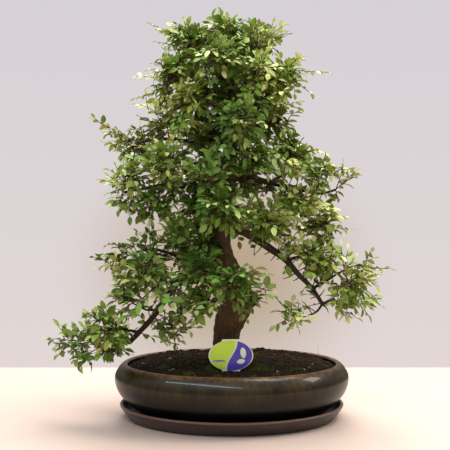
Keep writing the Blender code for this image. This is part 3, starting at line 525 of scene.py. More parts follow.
# The crumbs lie on a copy of the soil's top, which the tree replaces with the crumbs themselves.
top_count = SOIL_RINGS * SOIL_SEGMENTS
top_points = [v.co / MM for v in soil.data.vertices[-top_count:]]
ring_faces = []
for r in range(2, SOIL_RINGS - 1):
    for i in range(SOIL_SEGMENTS):
        near, near_next = r * SOIL_SEGMENTS + i, r * SOIL_SEGMENTS + (i + 1) % SOIL_SEGMENTS
        ring_faces.append((near, near_next, near_next + SOIL_SEGMENTS, near + SOIL_SEGMENTS))
crumb_layer = add_mesh("soil_crumbs", top_points, ring_faces, crumb_earth)
crumb = lump_object("crumb", 4, 0.8)
run_group(crumb_layer, scatter, crumb=crumb, density=CRUMB_DENSITY, smallest=CRUMB_SIZES[0] * MM,
          largest=CRUMB_SIZES[1] * MM, sink=0.0, seed=7, finish=crumb_earth)
bpy.data.objects.remove(crumb)

stone_face, tree, shader, place = new_material("small stones", 0.7)
stone = clouded(tree, place, 300.0, 1.6, (0.10, 0.08, 0.055), (0.28, 0.23, 0.17))
tree.links.new(stone["Colour"], shader.inputs["Base Color"])
stone_shape = bmesh.new()
for number, (x, y, radius) in enumerate(STONES):
    rng = random.Random(number)
    pebble = bmesh.ops.create_icosphere(stone_shape, subdivisions=2, radius=radius * MM)["verts"]
    stretch_by = Vector((rng.uniform(0.8, 1.3), rng.uniform(0.7, 1.1), rng.uniform(0.5, 0.75)))
    for vert in pebble:
        vert.co *= 1 + 0.12 * noise.noise(vert.co / MM + Vector((number * 9, 0, 0)))
        vert.co = Vector((vert.co.x * stretch_by.x, vert.co.y * stretch_by.y, vert.co.z * stretch_by.z))
        vert.co += Vector((x, y, soil_height(x, y) + radius * 0.2)) * MM
stones_mesh = bpy.data.meshes.new("small_stones")
stone_shape.to_mesh(stones_mesh)
stone_shape.free()
stones_mesh.materials.append(stone_face)
stones_mesh.shade_smooth()
stones = bpy.data.objects.new("small_stones", stones_mesh)
scene.collection.objects.link(stones)

# Moss: low cushions of tiny upright shoots, each a narrow folded blade.
moss_green, tree, shader, place = new_material("moss", 0.8, specular=0.2)
tone = add_node(tree, "ShaderNodeAttribute", attribute_name="tone").outputs["Fac"]
tree.links.new(mix_colours(tree, tone, (0.026, 0.032, 0.008), (0.14, 0.145, 0.028)), shader.inputs["Base Color"])
moss_points, moss_faces = [], []
for x, y, half_x, half_y in MOSS:
    first = len(moss_points)
    moss_points.append(Vector((x, y, soil_height(x, y) + 2.2)))
    rings_here, sides = 4, 18
    for r in range(1, rings_here + 1):
        for i in range(sides):
            t = 2 * math.pi * i / sides
            reach = r / rings_here * (1 + 0.25 * math.sin(3 * t + x) + 0.12 * math.sin(7 * t + y))
            px, py = x + half_x * reach * math.cos(t), y + half_y * reach * math.sin(t)
            rise = 2.2 * (1 - (r / rings_here) ** 2)
            moss_points.append(Vector((px, py, soil_height(px, py) + rise - 0.3)))
    for i in range(sides):
        j = (i + 1) % sides
        moss_faces.append((first, first + 1 + i, first + 1 + j))
        for r in range(rings_here - 1):
            near, near_next = first + 1 + r * sides + i, first + 1 + r * sides + j
            moss_faces.append((near, near + sides, near_next + sides, near_next))
moss = add_mesh("moss", moss_points, moss_faces, moss_green)
moss_shoot = bpy.data.meshes.new("moss shoot")
moss_shoot.from_pydata(
    [(-0.22, 0, 0), (0.22, 0, 0), (0, -0.12, 1), (-0.5, 0.3, 0.55), (0.5, 0.3, 0.6), (0, 0.5, 0.5)], [],
    [(0, 1, 2), (0, 3, 2), (1, 2, 4), (0, 1, 5)])
moss_shoot = bpy.data.objects.new("moss shoot", moss_shoot)
moss_cushion = add_mesh("moss_cushions", moss_points, moss_faces, moss_green)
run_group(moss, scatter, crumb=moss_shoot, density=1.6e6, smallest=0.9 * MM, largest=2.0 * MM, sink=0.2 * MM,
          seed=21, finish=moss_green)
bpy.data.objects.remove(moss_shoot)

# Weeds: seedlings with two or four round leaves on a short stem, and one thin dry grass stem.
weed_green, tree, shader, place = new_material("weeds", 0.55)
weed = clouded(tree, place, 180.0, 1.5, (0.05, 0.10, 0.02), (0.20, 0.30, 0.09))
tree.links.new(weed["Colour"], shader.inputs["Base Color"])
weed_points, weed_faces = [], []
for number, (x, y) in enumerate(WEEDS):
    rng = random.Random(number + 60)
    base = Vector((x, y, soil_height(x, y)))
    for leaf in range(rng.choice((3, 4, 5))):
        turn = rng.uniform(0, 2 * math.pi)
        out = Vector((math.cos(turn), math.sin(turn), rng.uniform(0.3, 1.0))).normalized()
        side = out.cross(UP).normalized()
        length, width = rng.uniform(3.0, 5.0), rng.uniform(1.6, 2.4)
        first = len(weed_points)
        for along, across in ((0, 0.15), (0.3, 0.8), (0.6, 1), (0.85, 0.7), (1, 0.1)):
            middle = base + UP * (1.5 + leaf * 0.4) + out * length * along + UP * -along * along
            weed_points += [middle - side * width * across / 2, middle + side * width * across / 2]
        for k in range(4):
            a = first + 2 * k
            weed_faces.append((a, a + 1, a + 3, a + 2))
GRASS_AT, GRASS_TALL = (137, 60), 26
for k in range(6):
    bend = Vector((0.6 * k, 0, 0)) * 0.3
    at = Vector((*GRASS_AT, soil_height(*GRASS_AT) + GRASS_TALL * k / 5)) + bend
    weed_points += [at + Vector((-0.4 * (1 - k / 6), 0, 0)), at + Vector((0.4 * (1 - k / 6), 0.2, 0))]
    if k:
        a = len(weed_points) - 4
        weed_faces.append((a, a + 1, a + 3, a + 2))
weeds = add_mesh("weeds", weed_points, weed_faces, weed_green)

keep(soil, "soil", "soil")
for piece in (crumb_layer, stones, moss, moss_cushion, weeds):
    keep(piece, "soil")

# The plant label: an oval plate with a stake below it, punched from sheet plastic and printed on its front. It is
# pushed into the soil before the trunk.
LABEL_AT = (-1.5, -60)
LABEL_HALF = (32, 21.6)
LABEL_STEP = (13.5, 23.0)  # half its raised middle part, top and bottom
LABEL_CENTRE_Z, LABEL_THICK = 101.5, 1.4
STAKE_WIDTH, STAKE_LENGTH, STAKE_POINT = 9, 46, 14
LABEL_TURN, LABEL_LEAN = math.radians(3), math.radians(-5)
LIME, VIOLET, PALE, NAVY = (0.66, 0.90, 0.075), (0.095, 0.065, 0.50), (0.88, 0.94, 0.72), (0.02, 0.03, 0.10)


def label_outline():
    """The plate's edge, clockwise from the front, as (x, z) from the oval's middle."""
    edge = [(-STAKE_WIDTH / 8, -LABEL_HALF[1] - STAKE_LENGTH), (-STAKE_WIDTH / 2, STAKE_POINT - LABEL_HALF[1] - STAKE_LENGTH)]
    gap_turn = math.asin(STAKE_WIDTH / 2 / LABEL_HALF[0])
    for i in range(121):
        turn = -math.pi / 2 - gap_turn - (2 * math.pi - 2 * gap_turn) * i / 120
        x, z = LABEL_HALF[0] * math.cos(turn), LABEL_HALF[1] * math.sin(turn)
        if abs(x) < LABEL_STEP[0]:
            z = math.copysign(max(abs(z), LABEL_STEP[1]), z)
        edge.append((x, z))
    edge += [(STAKE_WIDTH / 2, STAKE_POINT - LABEL_HALF[1] - STAKE_LENGTH), (STAKE_WIDTH / 8, -LABEL_HALF[1] - STAKE_LENGTH)]
    return edge


label_print, tree, shader, place = new_material("printed label plastic", 0.32, coat=0.25, coat_roughness=0.15)
uv = add_node(tree, "ShaderNodeUVMap", uv_map="UVMap").outputs[0]
parts = add_node(tree, "ShaderNodeSeparateXYZ", {0: uv}).outputs


def calc(tree, operation, first, second=0.0, third=0.0, clamp=False):
    """One step of arithmetic on sockets or numbers."""
    return add_node(tree, "ShaderNodeMath", {0: first, 1: second, 2: third}, operation=operation,
                    use_clamp=clamp).outputs[0]


def disc(tree, parts, x, z, radius_x, radius_z, soft=0.02):
    """A soft-edged mask, 1 inside an ellipse given in millimetres on the label."""
    dx = calc(tree, "DIVIDE", calc(tree, "SUBTRACT", parts["X"], x), radius_x)
    dz = calc(tree, "DIVIDE", calc(tree, "SUBTRACT", parts["Y"], z), radius_z)
    far = calc(tree, "SQRT", calc(tree, "ADD", calc(tree, "MULTIPLY", dx, dx), calc(tree, "MULTIPLY", dz, dz)))
    return add_node(tree, "ShaderNodeMapRange", {"Value": far, "From Min": 1 + soft, "From Max": 1 - soft}).outputs[0]


wave = calc(tree, "MULTIPLY", calc(tree, "SINE", calc(tree, "MULTIPLY", parts["Y"], 0.11)), 3.5)
edge = calc(tree, "SUBTRACT", calc(tree, "SUBTRACT", parts["X"], wave), calc(tree, "MULTIPLY", parts["Y"], 0.25))
right = add_node(tree, "ShaderNodeMapRange", {"Value": edge, "From Min": -0.6, "From Max": 0.2}).outputs[0]
printed = mix_colours(tree, right, LIME, VIOLET)
band = calc(tree, "MULTIPLY", right, add_node(tree, "ShaderNodeMapRange", {
    "Value": edge, "From Min": 2.2, "From Max": 1.4}).outputs[0])
printed = mix_colours(tree, band, printed, PALE)
leaf_a = calc(tree, "MULTIPLY", disc(tree, parts, 15.5, 3.0, 6.2, 8.5), disc(tree, parts, 19.5, 4.5, 6.2, 8.5))
leaf_b = calc(tree, "MULTIPLY", disc(tree, parts, 13.5, -6.5, 6.5, 5.5), disc(tree, parts, 15.0, -10.5, 7.0, 5.5))
motif = calc(tree, "MAXIMUM", leaf_a, leaf_b)
printed = mix_colours(tree, motif, printed, PALE)
stripe = calc(tree, "MULTIPLY", disc(tree, parts, -17, -7.5, 9.5, 1.1), calc(tree, "SUBTRACT", 1.0, right))
printed = mix_colours(tree, stripe, printed, VIOLET)
inner = disc(tree, parts, 0, 0, 30.3, 21.4, 0.012)
printed = mix_colours(tree, inner, PALE, printed)
below = add_node(tree, "ShaderNodeMapRange", {"Value": parts["Y"], "From Min": -23.2, "From Max": -22.8}).outputs[0]
printed = mix_colours(tree, below, NAVY, printed)
tree.links.new(printed, shader.inputs["Base Color"])
scuffs = add_node(tree, "ShaderNodeTexNoise", {"Vector": place, "Scale": 500.0, "Detail": 3.0})
bump(tree, shader, scuffs.outputs[0], 0.08, 0.2)

edge_line = label_outline()
count = len(edge_line)
points = [Vector((x, y, z)) for y in (LABEL_THICK / 2, -LABEL_THICK / 2) for x, z in edge_line]
faces = [tuple(range(count)), tuple(reversed(range(count, 2 * count)))]
faces += [((i + 1) % count, i, count + i, count + (i + 1) % count) for i in range(count)]
label = add_mesh("label_plate", points, faces, label_print)
label_uv = label.data.uv_layers.new(name="UVMap")
for loop in label.data.loops:
    flat = label.data.vertices[loop.vertex_index].co / MM
    label_uv.data[loop.index].uv = (flat.x, flat.z)
rounding = label.modifiers.new("Round", "BEVEL")
rounding.width = 0.25 * MM
rounding.segments = 2
settle(label)
label_stand = Matrix.Translation(Vector((*LABEL_AT, LABEL_CENTRE_Z)) * MM)
label.data.transform(label_stand @ Matrix.Rotation(LABEL_TURN, 4, "Z") @ Matrix.Rotation(LABEL_LEAN, 4, "X"))
label.data.set_sharp_from_angle(angle=math.radians(40))
keep(label, "label_plastic", "plant_label")

# Trunk and branches: living wood trained in a lean and a bend, under thin dark brown bark that turns redder where
# it is young. The limbs grow out of the trunk, and most end in fine twigs.
# (x, depth, z, radius) up the trunk, read on the upright plane through the pot as seen from EYE.
TRUNK = [
    (-8, 9, 52, 19), (-8, 8, 86, 25), (-8, 8, 98, 21.5), (-8, 7, 116, 20), (-6, 6, 134, 20.5),
    (1, 3, 152, 22.5), (9, 0, 171, 23), (7, -3, 192, 21.5), (-2, -4, 212, 19.5), (-12, 0, 234, 17.5),
    (-17, 6, 257, 16.2), (-19, 12, 279, 15.2), (-14, 14, 310, 14.2), (-8, 10, 340, 13.2), (-4, 3, 370, 11.8),
    (-2, -3, 402, 10.2), (-1, -6, 432, 8.8), (1, -5, 465, 7.0), (-2, 1, 500, 5.4), (-5, 4, 528, 3.8),
    (-8, 2, 552, 1.8),
]
# Limbs: (first radius, last radius, [(x, depth, z), ...]). Each starts inside the wood that it grows from.
LIMBS = {
    "low_right": (8.0, 3.1, [
        (-14, 10, 287), (18, -5, 277), (59, -20, 251), (82, -28, 234), (100, -34, 213), (121, -38, 192),
        (137, -42, 167)]),
    "low_right_up": (3.2, 1.4, [(82, -28, 234), (103, -36, 240), (115, -40, 246), (138, -46, 260)]),
    "low_right_mid": (2.7, 1.2, [(121, -38, 192), (136, -46, 199), (158, -52, 213), (178, -56, 224)]),
    "low_right_end": (2.2, 1.1, [(137, -42, 168), (151, -40, 174), (164, -36, 166), (187, -30, 174)]),
    "low_right_drop": (1.9, 1.0, [(137, -42, 169), (127, -44, 156), (108, -46, 149), (95, -44, 153)]),
    "low_right_top": (4.2, 1.8, [(44, -15, 262), (61, -10, 281), (88, 0, 295), (118, 8, 304)]),
    "low_right_back": (3.8, 1.6, [(32, -10, 269), (54, 25, 276), (86, 58, 271)]),
    "low_left": (7.4, 3.8, [
        (-12, 0, 224), (-40, -22, 223), (-62, -38, 215), (-85, -48, 196), (-110, -52, 161), (-122, -50, 144),
        (-140, -44, 125), (-154, -38, 110)]),
    "low_left_end": (3.0, 1.1, [(-153, -39, 111), (-175, -36, 107), (-197, -38, 113), (-226, -42, 108)]),
    "low_left_fork": (2.8, 1.1, [(-140, -44, 125), (-161, -50, 131), (-182, -56, 141)]),
    "low_left_twig": (2.0, 1.1, [(-110, -52, 161), (-127, -60, 159), (-148, -66, 169)]),
    "low_left_upper": (2.3, 1.1, [(-77, -45, 203), (-109, -58, 197), (-134, -60, 176)]),
    "mid_low_left": (6.0, 1.8, [
        (-17, 4, 233), (-43, 8, 231), (-64, 12, 228), (-89, 14, 243), (-122, 14, 251), (-149, 12, 243)]),
    "mid_left": (7.0, 2.0, [(-8, 10, 328), (-47, 4, 337), (-89, -6, 348), (-130, -14, 342), (-163, -18, 336)]),
    "mid_left_front": (3.4, 1.6, [(-86, -5, 347), (-105, -36, 366), (-116, -56, 381)]),
    "high_left": (6.0, 1.8, [(-4, 3, 378), (-40, 14, 400), (-80, 26, 415), (-122, 36, 414), (-150, 40, 405)]),
    "mid_right": (7.0, 1.8, [
        (-7, 6, 364), (28, 2, 357), (60, -6, 350), (96, -14, 342), (130, -18, 334), (156, -20, 340)]),
    "mid_right_back": (3.2, 1.5, [(62, -5, 352), (86, 18, 368), (112, 34, 376)]),
    "high_right": (5.2, 1.8, [(-2, -3, 408), (31, 6, 422), (60, 14, 438), (80, 18, 448)]),
    "crown_left": (4.6, 1.6, [(0, -6, 450), (-32, -14, 469), (-62, -20, 490), (-84, -23, 504)]),
    "crown_right": (4.2, 1.5, [(0, -4, 477), (28, -12, 496), (55, -18, 515), (72, -20, 525)]),
    "top_left": (3.0, 1.3, [(-4, 2, 512), (-30, 8, 534), (-58, 10, 552)]),
    "top_right": (2.9, 1.3, [(-4, 3, 520), (14, 12, 536), (38, 20, 550)]),
    "back_low": (7.0, 2.0, [(-18, 10, 264), (0, 50, 276), (15, 95, 285), (24, 128, 292)]),
    "back_low_left": (3.6, 1.6, [(-2, 47, 275), (-33, 82, 272), (-62, 108, 268)]),
    "back_left": (6.0, 1.8, [(-12, 13, 324), (-40, 50, 341), (-70, 88, 350), (-88, 112, 353)]),
    "back_right": (5.6, 1.8, [(-6, 6, 360), (25, 44, 372), (60, 84, 378), (80, 104, 379)]),
    "front_low": (5.4, 1.8, [(4, -3, 197), (-3, -36, 205), (-10, -72, 204), (-13, -92, 200)]),
    "front_mid": (6.0, 1.8, [(-15, 13, 302), (-12, -26, 318), (-16, -66, 326), (-20, -90, 332)]),
    "front_high": (4.6, 1.6, [(-2, -3, 404), (6, -36, 420), (8, -64, 430)]),
    "back_high": (4.6, 1.6, [(0, -6, 447), (-8, 34, 460), (-13, 66, 467)]),
    "crown_front": (3.5, 1.4, [(-1, -2, 490), (-8, -34, 505), (-15, -58, 512)]),
    "crown_back": (3.2, 1.3, [(-3, 3, 514), (2, 34, 524), (5, 56, 528)]),
}
TRUNK_SIDES, LIMB_SIDES, LIMB_STEPS = 40, 14, 6
TAPER = 1.5
FLARE = 0.35  # how much wider a limb is where it leaves the wood
FUSED_OVER = 1.9  # limbs are fused with the trunk down to this radius
FUSE_GRAIN, FUSE_SMOOTHING = 1.5, 3


def in_space(plan_point):
    """The place of a plan point: moved from the middle plane to its depth, along the line from EYE."""
    x, depth, z = plan_point
    share = (depth - EYE.y) / -EYE.y
    return Vector((EYE.x + (x - EYE.x) * share, depth, EYE.z + (z - EYE.z) * share))


def wood_rings(line, radii, sides, lobes, seed):
    """Rings square to a smooth line, knobbly and a little out of round as wood is."""
    rings = []
    across = Vector((0, 1, 0))
    for i, (at, radius) in enumerate(zip(line, radii)):
        along = (line[min(i + 1, len(line) - 1)] - line[max(i - 1, 0)]).normalized()
        across = (across - along * across.dot(along)).normalized()
        side = along.cross(across)
        ring = []
        for k in range(sides):
            turn = 2 * math.pi * k / sides
            out = across * math.cos(turn) + side * math.sin(turn)
            point = at + out * radius
            flute = math.sin(3 * turn + 0.06 * i) + 0.6 * math.cos(5 * turn - 0.08 * i)
            knob = noise.noise(point / 7 + Vector((seed, 0, 0))) * 0.13 + noise.noise(point / 3) * 0.07
            ring.append(at + out * radius * (1 + lobes * flute + knob))
        rings.append(ring)
    return rings


bark, tree, shader, place = new_material("bark", 0.78, specular=0.3)
along_grain = stretch(tree, place, (1, 1, 0.3))
rough_bark = clouded(tree, along_grain, 210.0, 2.4, (0.018, 0.013, 0.007), (0.140, 0.106, 0.046))
red_bark = clouded(tree, place, 34.0, 3.0, (0, 0, 0), (1, 1, 1))
bark_colour = mix_colours(tree, calc(tree, "MULTIPLY", red_bark["Height"], 0.6), rough_bark["Colour"], (0.150, 0.058, 0.030))
lichen = clouded(tree, place, 120.0, 7.0, (0, 0, 0), (1, 1, 1))
bark_colour = mix_colours(tree, calc(tree, "MULTIPLY", lichen["Height"], 0.16), bark_colour, (0.115, 0.12, 0.06))
# Painted shade: the bark turns almost black away from the trunk, out along the limbs in the crown's shade.
beside = calc(tree, "ABSOLUTE", add_node(tree, "ShaderNodeSeparateXYZ", {0: place}).outputs["X"])
painted_limb_shade = add_node(tree, "ShaderNodeMapRange", {
    "Value": beside, "From Min": 28 * MM, "From Max": 70 * MM, "To Max": 0.75}).outputs[0]
bark_colour = mix_colours(tree, painted_limb_shade, bark_colour, (0.012, 0.009, 0.008))
tree.links.new(bark_colour, shader.inputs["Base Color"])
cracks = add_node(tree, "ShaderNodeTexVoronoi", {"Vector": stretch(tree, place, (1, 1, 0.4)), "Scale": 330.0},
                  feature="DISTANCE_TO_EDGE")
crack_height = calc(tree, "MINIMUM", cracks.outputs["Distance"], 0.12)
bump(tree, shader, calc(tree, "MULTIPLY_ADD", crack_height, 4.0, rough_bark["Height"]), 0.6, 0.9)

bodies = {"fused": ([], []), "thin": ([], [])}


def add_body(kind, points, faces):
    """Adds one closed body to the wood that is fused, or to the thin wood that isn't."""
    known_points, known_faces = bodies[kind]
    first = len(known_points)
    known_points.extend(points)
    known_faces.extend(tuple(first + i for i in face) for face in faces)


limb_lines = {}
trunk_line = smooth_line([in_space(p[:3]) for p in TRUNK], LIMB_STEPS)
trunk_radii = smooth_line([p[3] for p in TRUNK], LIMB_STEPS)
limb_lines["trunk"] = (trunk_line, trunk_radii)
add_body("fused", *tube(wood_rings(trunk_line, trunk_radii, TRUNK_SIDES, 0.045, 1)))
for number, (name, (first, last, plan)) in enumerate(LIMBS.items()):
    line = smooth_line([in_space(p) for p in plan], LIMB_STEPS)
    radii = []
    for i in range(len(line)):
        share = i / (len(line) - 1)
        radii.append((last + (first - last) * (1 - share) ** TAPER) * (1 + FLARE * max(0, 1 - share * 5) ** 2))
    limb_lines[name] = (line, radii)
    thick = sum(radius > FUSED_OVER for radius in radii)
    if thick > 2:
        add_body("fused", *tube(wood_rings(line[:thick], radii[:thick], LIMB_SIDES, 0.03, number * 5)))
    if thick < len(line):
        start = max(thick - 3, 0)
        add_body("thin", *tube(wood_rings(line[start:], radii[start:], LIMB_SIDES, 0.03, number * 5)))

# The spurs are dead side twigs, bitten off short, on the bare limbs at the right: (limb, x, z) of each one's end.
SPURS = [("low_right", x, z) for x, z in (
    (27.8, 256.9), (36.8, 244.9), (48.8, 242.7), (58.6, 232.9), (67.4, 235.0), (77.4, 222.4), (77.4, 205.9),
    (92.4, 202.9), (145.7, 154.8), (126.9, 204.4), (140.4, 190.9), (72, 258), (108, 216), (88, 246), (118, 176))]
SPURS += [("mid_right", x, z) for x, z in (
    (43, 361), (50, 330), (62, 362), (77, 331), (84, 322), (99, 353), (108, 322), (118, 348), (131, 326), (30, 338))]
for number, (limb, x, z) in enumerate(SPURS):
    root = min(limb_lines[limb][0], key=lambda p: math.hypot(p.x - x, p.z - z))
    rng = random.Random(number)
    end = in_space((x, root.y + rng.uniform(-5, 3), z))
    middle = (root + end) / 2 + Vector([rng.uniform(-1, 1) for _ in range(3)]) * (end - root).length * 0.12
    line = smooth_line([root, middle, end], 3)
    radii = [1.25 - 0.8 * k / (len(line) - 1) for k in range(len(line))]
    add_body("thin", *tube(wood_rings(line, radii, 7, 0.05, number * 3)))

wood = add_mesh("trunk_and_limbs", *bodies["fused"], bark)
fuse = wood.modifiers.new("Fuse", "REMESH")
fuse.mode = "VOXEL"
fuse.voxel_size = FUSE_GRAIN * MM
fuse.use_smooth_shade = True
soften = wood.modifiers.new("Soften", "SMOOTH")
soften.factor = 0.5
soften.iterations = FUSE_SMOOTHING
settle(wood)
thin_wood = add_mesh("thin_wood", *bodies["thin"], bark)
joined = bmesh.new()
joined.from_mesh(wood.data)
joined.from_mesh(thin_wood.data)
joined.to_mesh(wood.data)
joined.free()
bpy.data.objects.remove(thin_wood)
wood.data.materials.clear()
wood.data.materials.append(bark)
wood.data.shade_smooth()
keep(wood, "bark", "trunk_and_branches")

# Leafy shoots: each grows out of a limb and forks into fine green-brown twigs. Their lines follow the CAD sprays:
# a twig runs out to every leaf point of the spray, so the foliage keeps the spray's place and outline.
LEAFY_FROM = 0.3
TIP_LEAF = 9.0  # the last leaf reaches this far past its twig
TWIG_RADII = (0.85, 0.34)
STEM_RADIUS = 1.1
UPPER_FROM = 325  # the height where the upper half of the foliage starts
# The pale leaves are those that get the light: this far out beside or behind the trunk, and from this height up.
OUTER_LEAVES, CROWN_FROM = 90, 450
LOWER_LEAVES = 1.15  # how much larger the leaves are below that
FILL_SHOOTS = 30  # more short twigs in each dense head
OPEN_OUTSIDE = 0.85  # the share of them that the outermost heads go without
DENSE_TIPS = 14  # a spray with more leaf points than this is a dense head
LIMB_SHOOTS_EVERY = 7.0
TRUNK_SHOOTS = (345, 545, 7)  # from one height to another, and the step between them
BRIDGED = 100  # dense heads nearer than this to each other grow together
BRIDGES = 6
# More leafy shoots, by the limb that each grows from: (x, depth, z) of their ends.
MORE_SHOOTS = {
    "low_left": [
        (-60, -70, 152), (-75, -62, 124), (-92, -70, 168), (-60, -60, 186), (-112, -70, 186), (-48, -62, 150),
        (-80, -66, 118), (-72, -66, 108), (-92, -66, 106), (-58, -72, 120)],
    "low_left_twig": [(-186, -66, 182), (-178, -68, 194), (-160, -72, 162), (-150, -75, 178), (-172, -70, 176), (-150, -70, 150), (-164, -60, 190)],
    "low_left_end": [(-215, -45, 128), (-232, -42, 122), (-252, -45, 120), (-264, -46, 100), (-222, -50, 92),
                     (-200, -44, 94), (-190, -40, 124), (-180, -46, 96), (-216, -46, 86), (-188, -44, 86),
                     (-168, -46, 94), (-240, -44, 94)],
    "low_left_fork": [(-196, -60, 158), (-208, -62, 142), (-178, -60, 122), (-166, -56, 112)],
    "low_left_upper": [(-160, -62, 200), (-150, -66, 226), (-172, -60, 214)],
    "mid_low_left": [(-118, 14, 268), (-130, 12, 262), (-168, 12, 258), (-206, 6, 220), (-190, 12, 238), (-150, 20, 262), (-176, 8, 226)],
    "mid_left": [(-138, -18, 292), (-124, -14, 300), (-170, -22, 318), (-184, -20, 345), (-176, -16, 362), (-150, -24, 306), (-70, -20, 330),
                 (-85, -24, 338), (-62, -16, 322), (-90, -20, 322)],
    "high_left": [(-172, 42, 420), (-198, 40, 444), (-166, 42, 384), (-140, 38, 440), (-120, 30, 392)],
    "crown_left": [(-104, -22, 490), (-112, -20, 466), (-104, -26, 456)],
    "top_left": [(-112, 10, 582), (-88, 12, 580), (-96, 8, 548)],
    "crown_right": [(88, -20, 484), (80, -24, 470)],
    "high_right": [(90, 20, 436), (88, 22, 420), (76, 10, 424), (50, 0, 415), (60, 4, 405), (46, -6, 428)],
    "top_right": [(70, 20, 588), (84, 18, 574), (48, 18, 590), (30, 10, 584)],
    "mid_right": [
        (168, -20, 388), (176, -22, 354), (160, -10, 322), (120, 14, 306), (96, 16, 312), (20, 10, 330),
        (40, 14, 322), (60, 16, 328), (80, 18, 320), (100, 18, 326), (30, 20, 344), (54, 20, 340),
        (30, -20, 372), (56, -22, 374), (82, -22, 370), (18, -14, 346), (34, 24, 332), (12, -18, 330)],
    "low_right_top": [(140, 6, 318), (150, 4, 290), (104, -6, 274), (120, -4, 284)],
    "low_right": [(80, -32, 268), (98, -38, 258), (112, -40, 246), (126, -44, 230), (140, -46, 206), (68, -26, 276)],
    "low_right_mid": [(200, -56, 226), (224, -56, 216), (192, -60, 206)],
    "low_right_end": [(222, -32, 172), (204, -30, 158), (176, -34, 152), (160, -36, 156), (190, -34, 190)],
    "low_right_drop": [(92, -48, 140), (84, -46, 162)],
    "front_low": [
        (-40, -84, 178), (-26, -88, 162), (-48, -80, 196), (22, -48, 170), (30, -44, 156), (18, -50, 146),
        (40, -42, 166), (32, -40, 182), (8, -56, 160), (24, -46, 138)],
}
SIDE_TWIGS = 3  # on each of them
# Single long shoots, which stand out of the crown.
STRAY_SHOOTS = {
    "crown_left": [(-150, -20, 510), (-150, -22, 474), (-128, -18, 520)],
    "crown_right": [(154, -16, 515), (130, -12, 476), (112, -20, 504)],
    "top_left": [(-118, 8, 562), (-126, 10, 588), (-96, 6, 590)],
    "top_right": [(82, 18, 590), (30, 10, 596)],
    "high_left": [(-214, 40, 448), (-196, 40, 428)],
    "low_right_top": [(178, 0, 298), (184, -4, 278), (172, 4, 268)],
    "low_right_mid": [(176, -56, 254), (188, -56, 242), (166, -52, 262)],
}

leaf_lines = {}  # for each age and storey of the foliage
spray_groups = {}
twig_lines = []
tree_rng = random.Random(11)
cad_wood = frame["nodes"]["trunk_and_branches"]
wood_surface = BVHTree.FromPolygons(
    [v.co / MM for v in cad_wood.data.vertices], [tuple(f.vertices) for f in cad_wood.data.polygons])


def axis_at(z):
    """The trunk's middle at a height."""
    line = limb_lines["trunk"][0]
    return min(line, key=lambda p: abs(p.z - z))


def bowed(start, end, rng, share=0.12):
    """A short line of points between two, bowed a little and upwards."""
    length = (end - start).length
    bow = Vector([rng.uniform(-1, 1) for _ in range(3)]) * length * share + UP * length * 0.05
    return [start + (end - start) * t + bow * 4 * t * (1 - t) for t in (0, 0.25, 0.5, 0.75, 1)]


def part_of(line, first):
    """The last part of a line of points, from a share of its way along."""
    at = first * (len(line) - 1)
    k = int(at)
    start = line[k] + (line[min(k + 1, len(line) - 1)] - line[k]) * (at - k)
    return [start] + line[k + 1:]


def grow_shoot(line, age, rng, first_leaf=LEAFY_FROM, youth=0.0, size=1.0, radii=TWIG_RADII):
    """Adds a twig and its leaves."""
    middle = line[len(line) // 2]
    outward = middle - axis_at(middle.z)
    outward = Vector((outward.x, outward.y, 0)).normalized()
    facing = UP + outward * rng.uniform(0.0, 0.8) + Vector([rng.uniform(-0.35, 0.35) for _ in range(3)])
    last = line[-1] - line[-2]
    line = line[:-1] + [line[-1] - last * min(0.9, TIP_LEAF * size / last.length)]
    twig_lines.append({"line": line, "radii": radii})
    storey = "upper" if middle.z > UPPER_FROM else "lower"
    size *= LOWER_LEAVES if storey == "lower" else 1
    beside, behind = middle.x - axis_at(middle.z).x, middle.y - axis_at(middle.z).y
    far_out = min(1, math.hypot(beside, behind * (0.25 if behind < 0 else 1)) / OUTER_LEAVES)
    high_up = min(1, max(0, (middle.z - CROWN_FROM) / 60))
    # Below the crown, the leaves at the right get more light than those at the lower left.
    side = max(-1, min(1, beside / 60)) * min(1, max(0, (400 - middle.z) / 80))
    sunny = (0.2 if side > 0 else 0.42) * side
    # Painted light: the young yellow-green of the tips is cut back in the shade, at the lower left and inside the
    # crown.
    youth *= 1 + min(0, side) * 0.45
    light = max(0, min(1, 0.9 * far_out ** 1.3 + 0.45 * high_up + sunny + rng.uniform(-0.25, 0.15)))
    youth *= 0.2 + 0.8 * max(far_out, high_up)
    leaf_lines.setdefault((age, storey), []).append({
        "line": part_of(line, first_leaf), "facing": facing.normalized(), "youth": youth, "size": size, "light": light})


def spray_tips(node):
    """(root, middle, leaf points) of a CAD spray: where it meets the wood, the middle of its surface, and each
    point that lies farther out than its neighbours."""
    shape = bmesh.new()
    shape.from_mesh(node.data)
    bmesh.ops.remove_doubles(shape, verts=shape.verts, dist=1e-6)
    area = sum(f.calc_area() for f in shape.faces)
    middle = sum((f.calc_center_median() * f.calc_area() for f in shape.faces), Vector()) / area
    tips = []
    for vert in shape.verts:
        far = (vert.co - middle).length
        if all((edge.other_vert(vert).co - middle).length < far for edge in vert.link_edges):
            tips.append(vert.co / MM)
    root = min((v.co / MM for v in shape.verts), key=lambda p: wood_surface.find_nearest(p)[3])
    shape.free()
    return root, middle / MM, tips


def inside_head(root, middle, reach, rng):
    """A place on the forked stem inside a dense head."""
    aside = Vector([rng.gauss(0, 1) for _ in range(3)]).normalized() * reach * rng.uniform(0.1, 0.45)
    return middle + (root - middle) * rng.uniform(0.0, 0.35) + aside


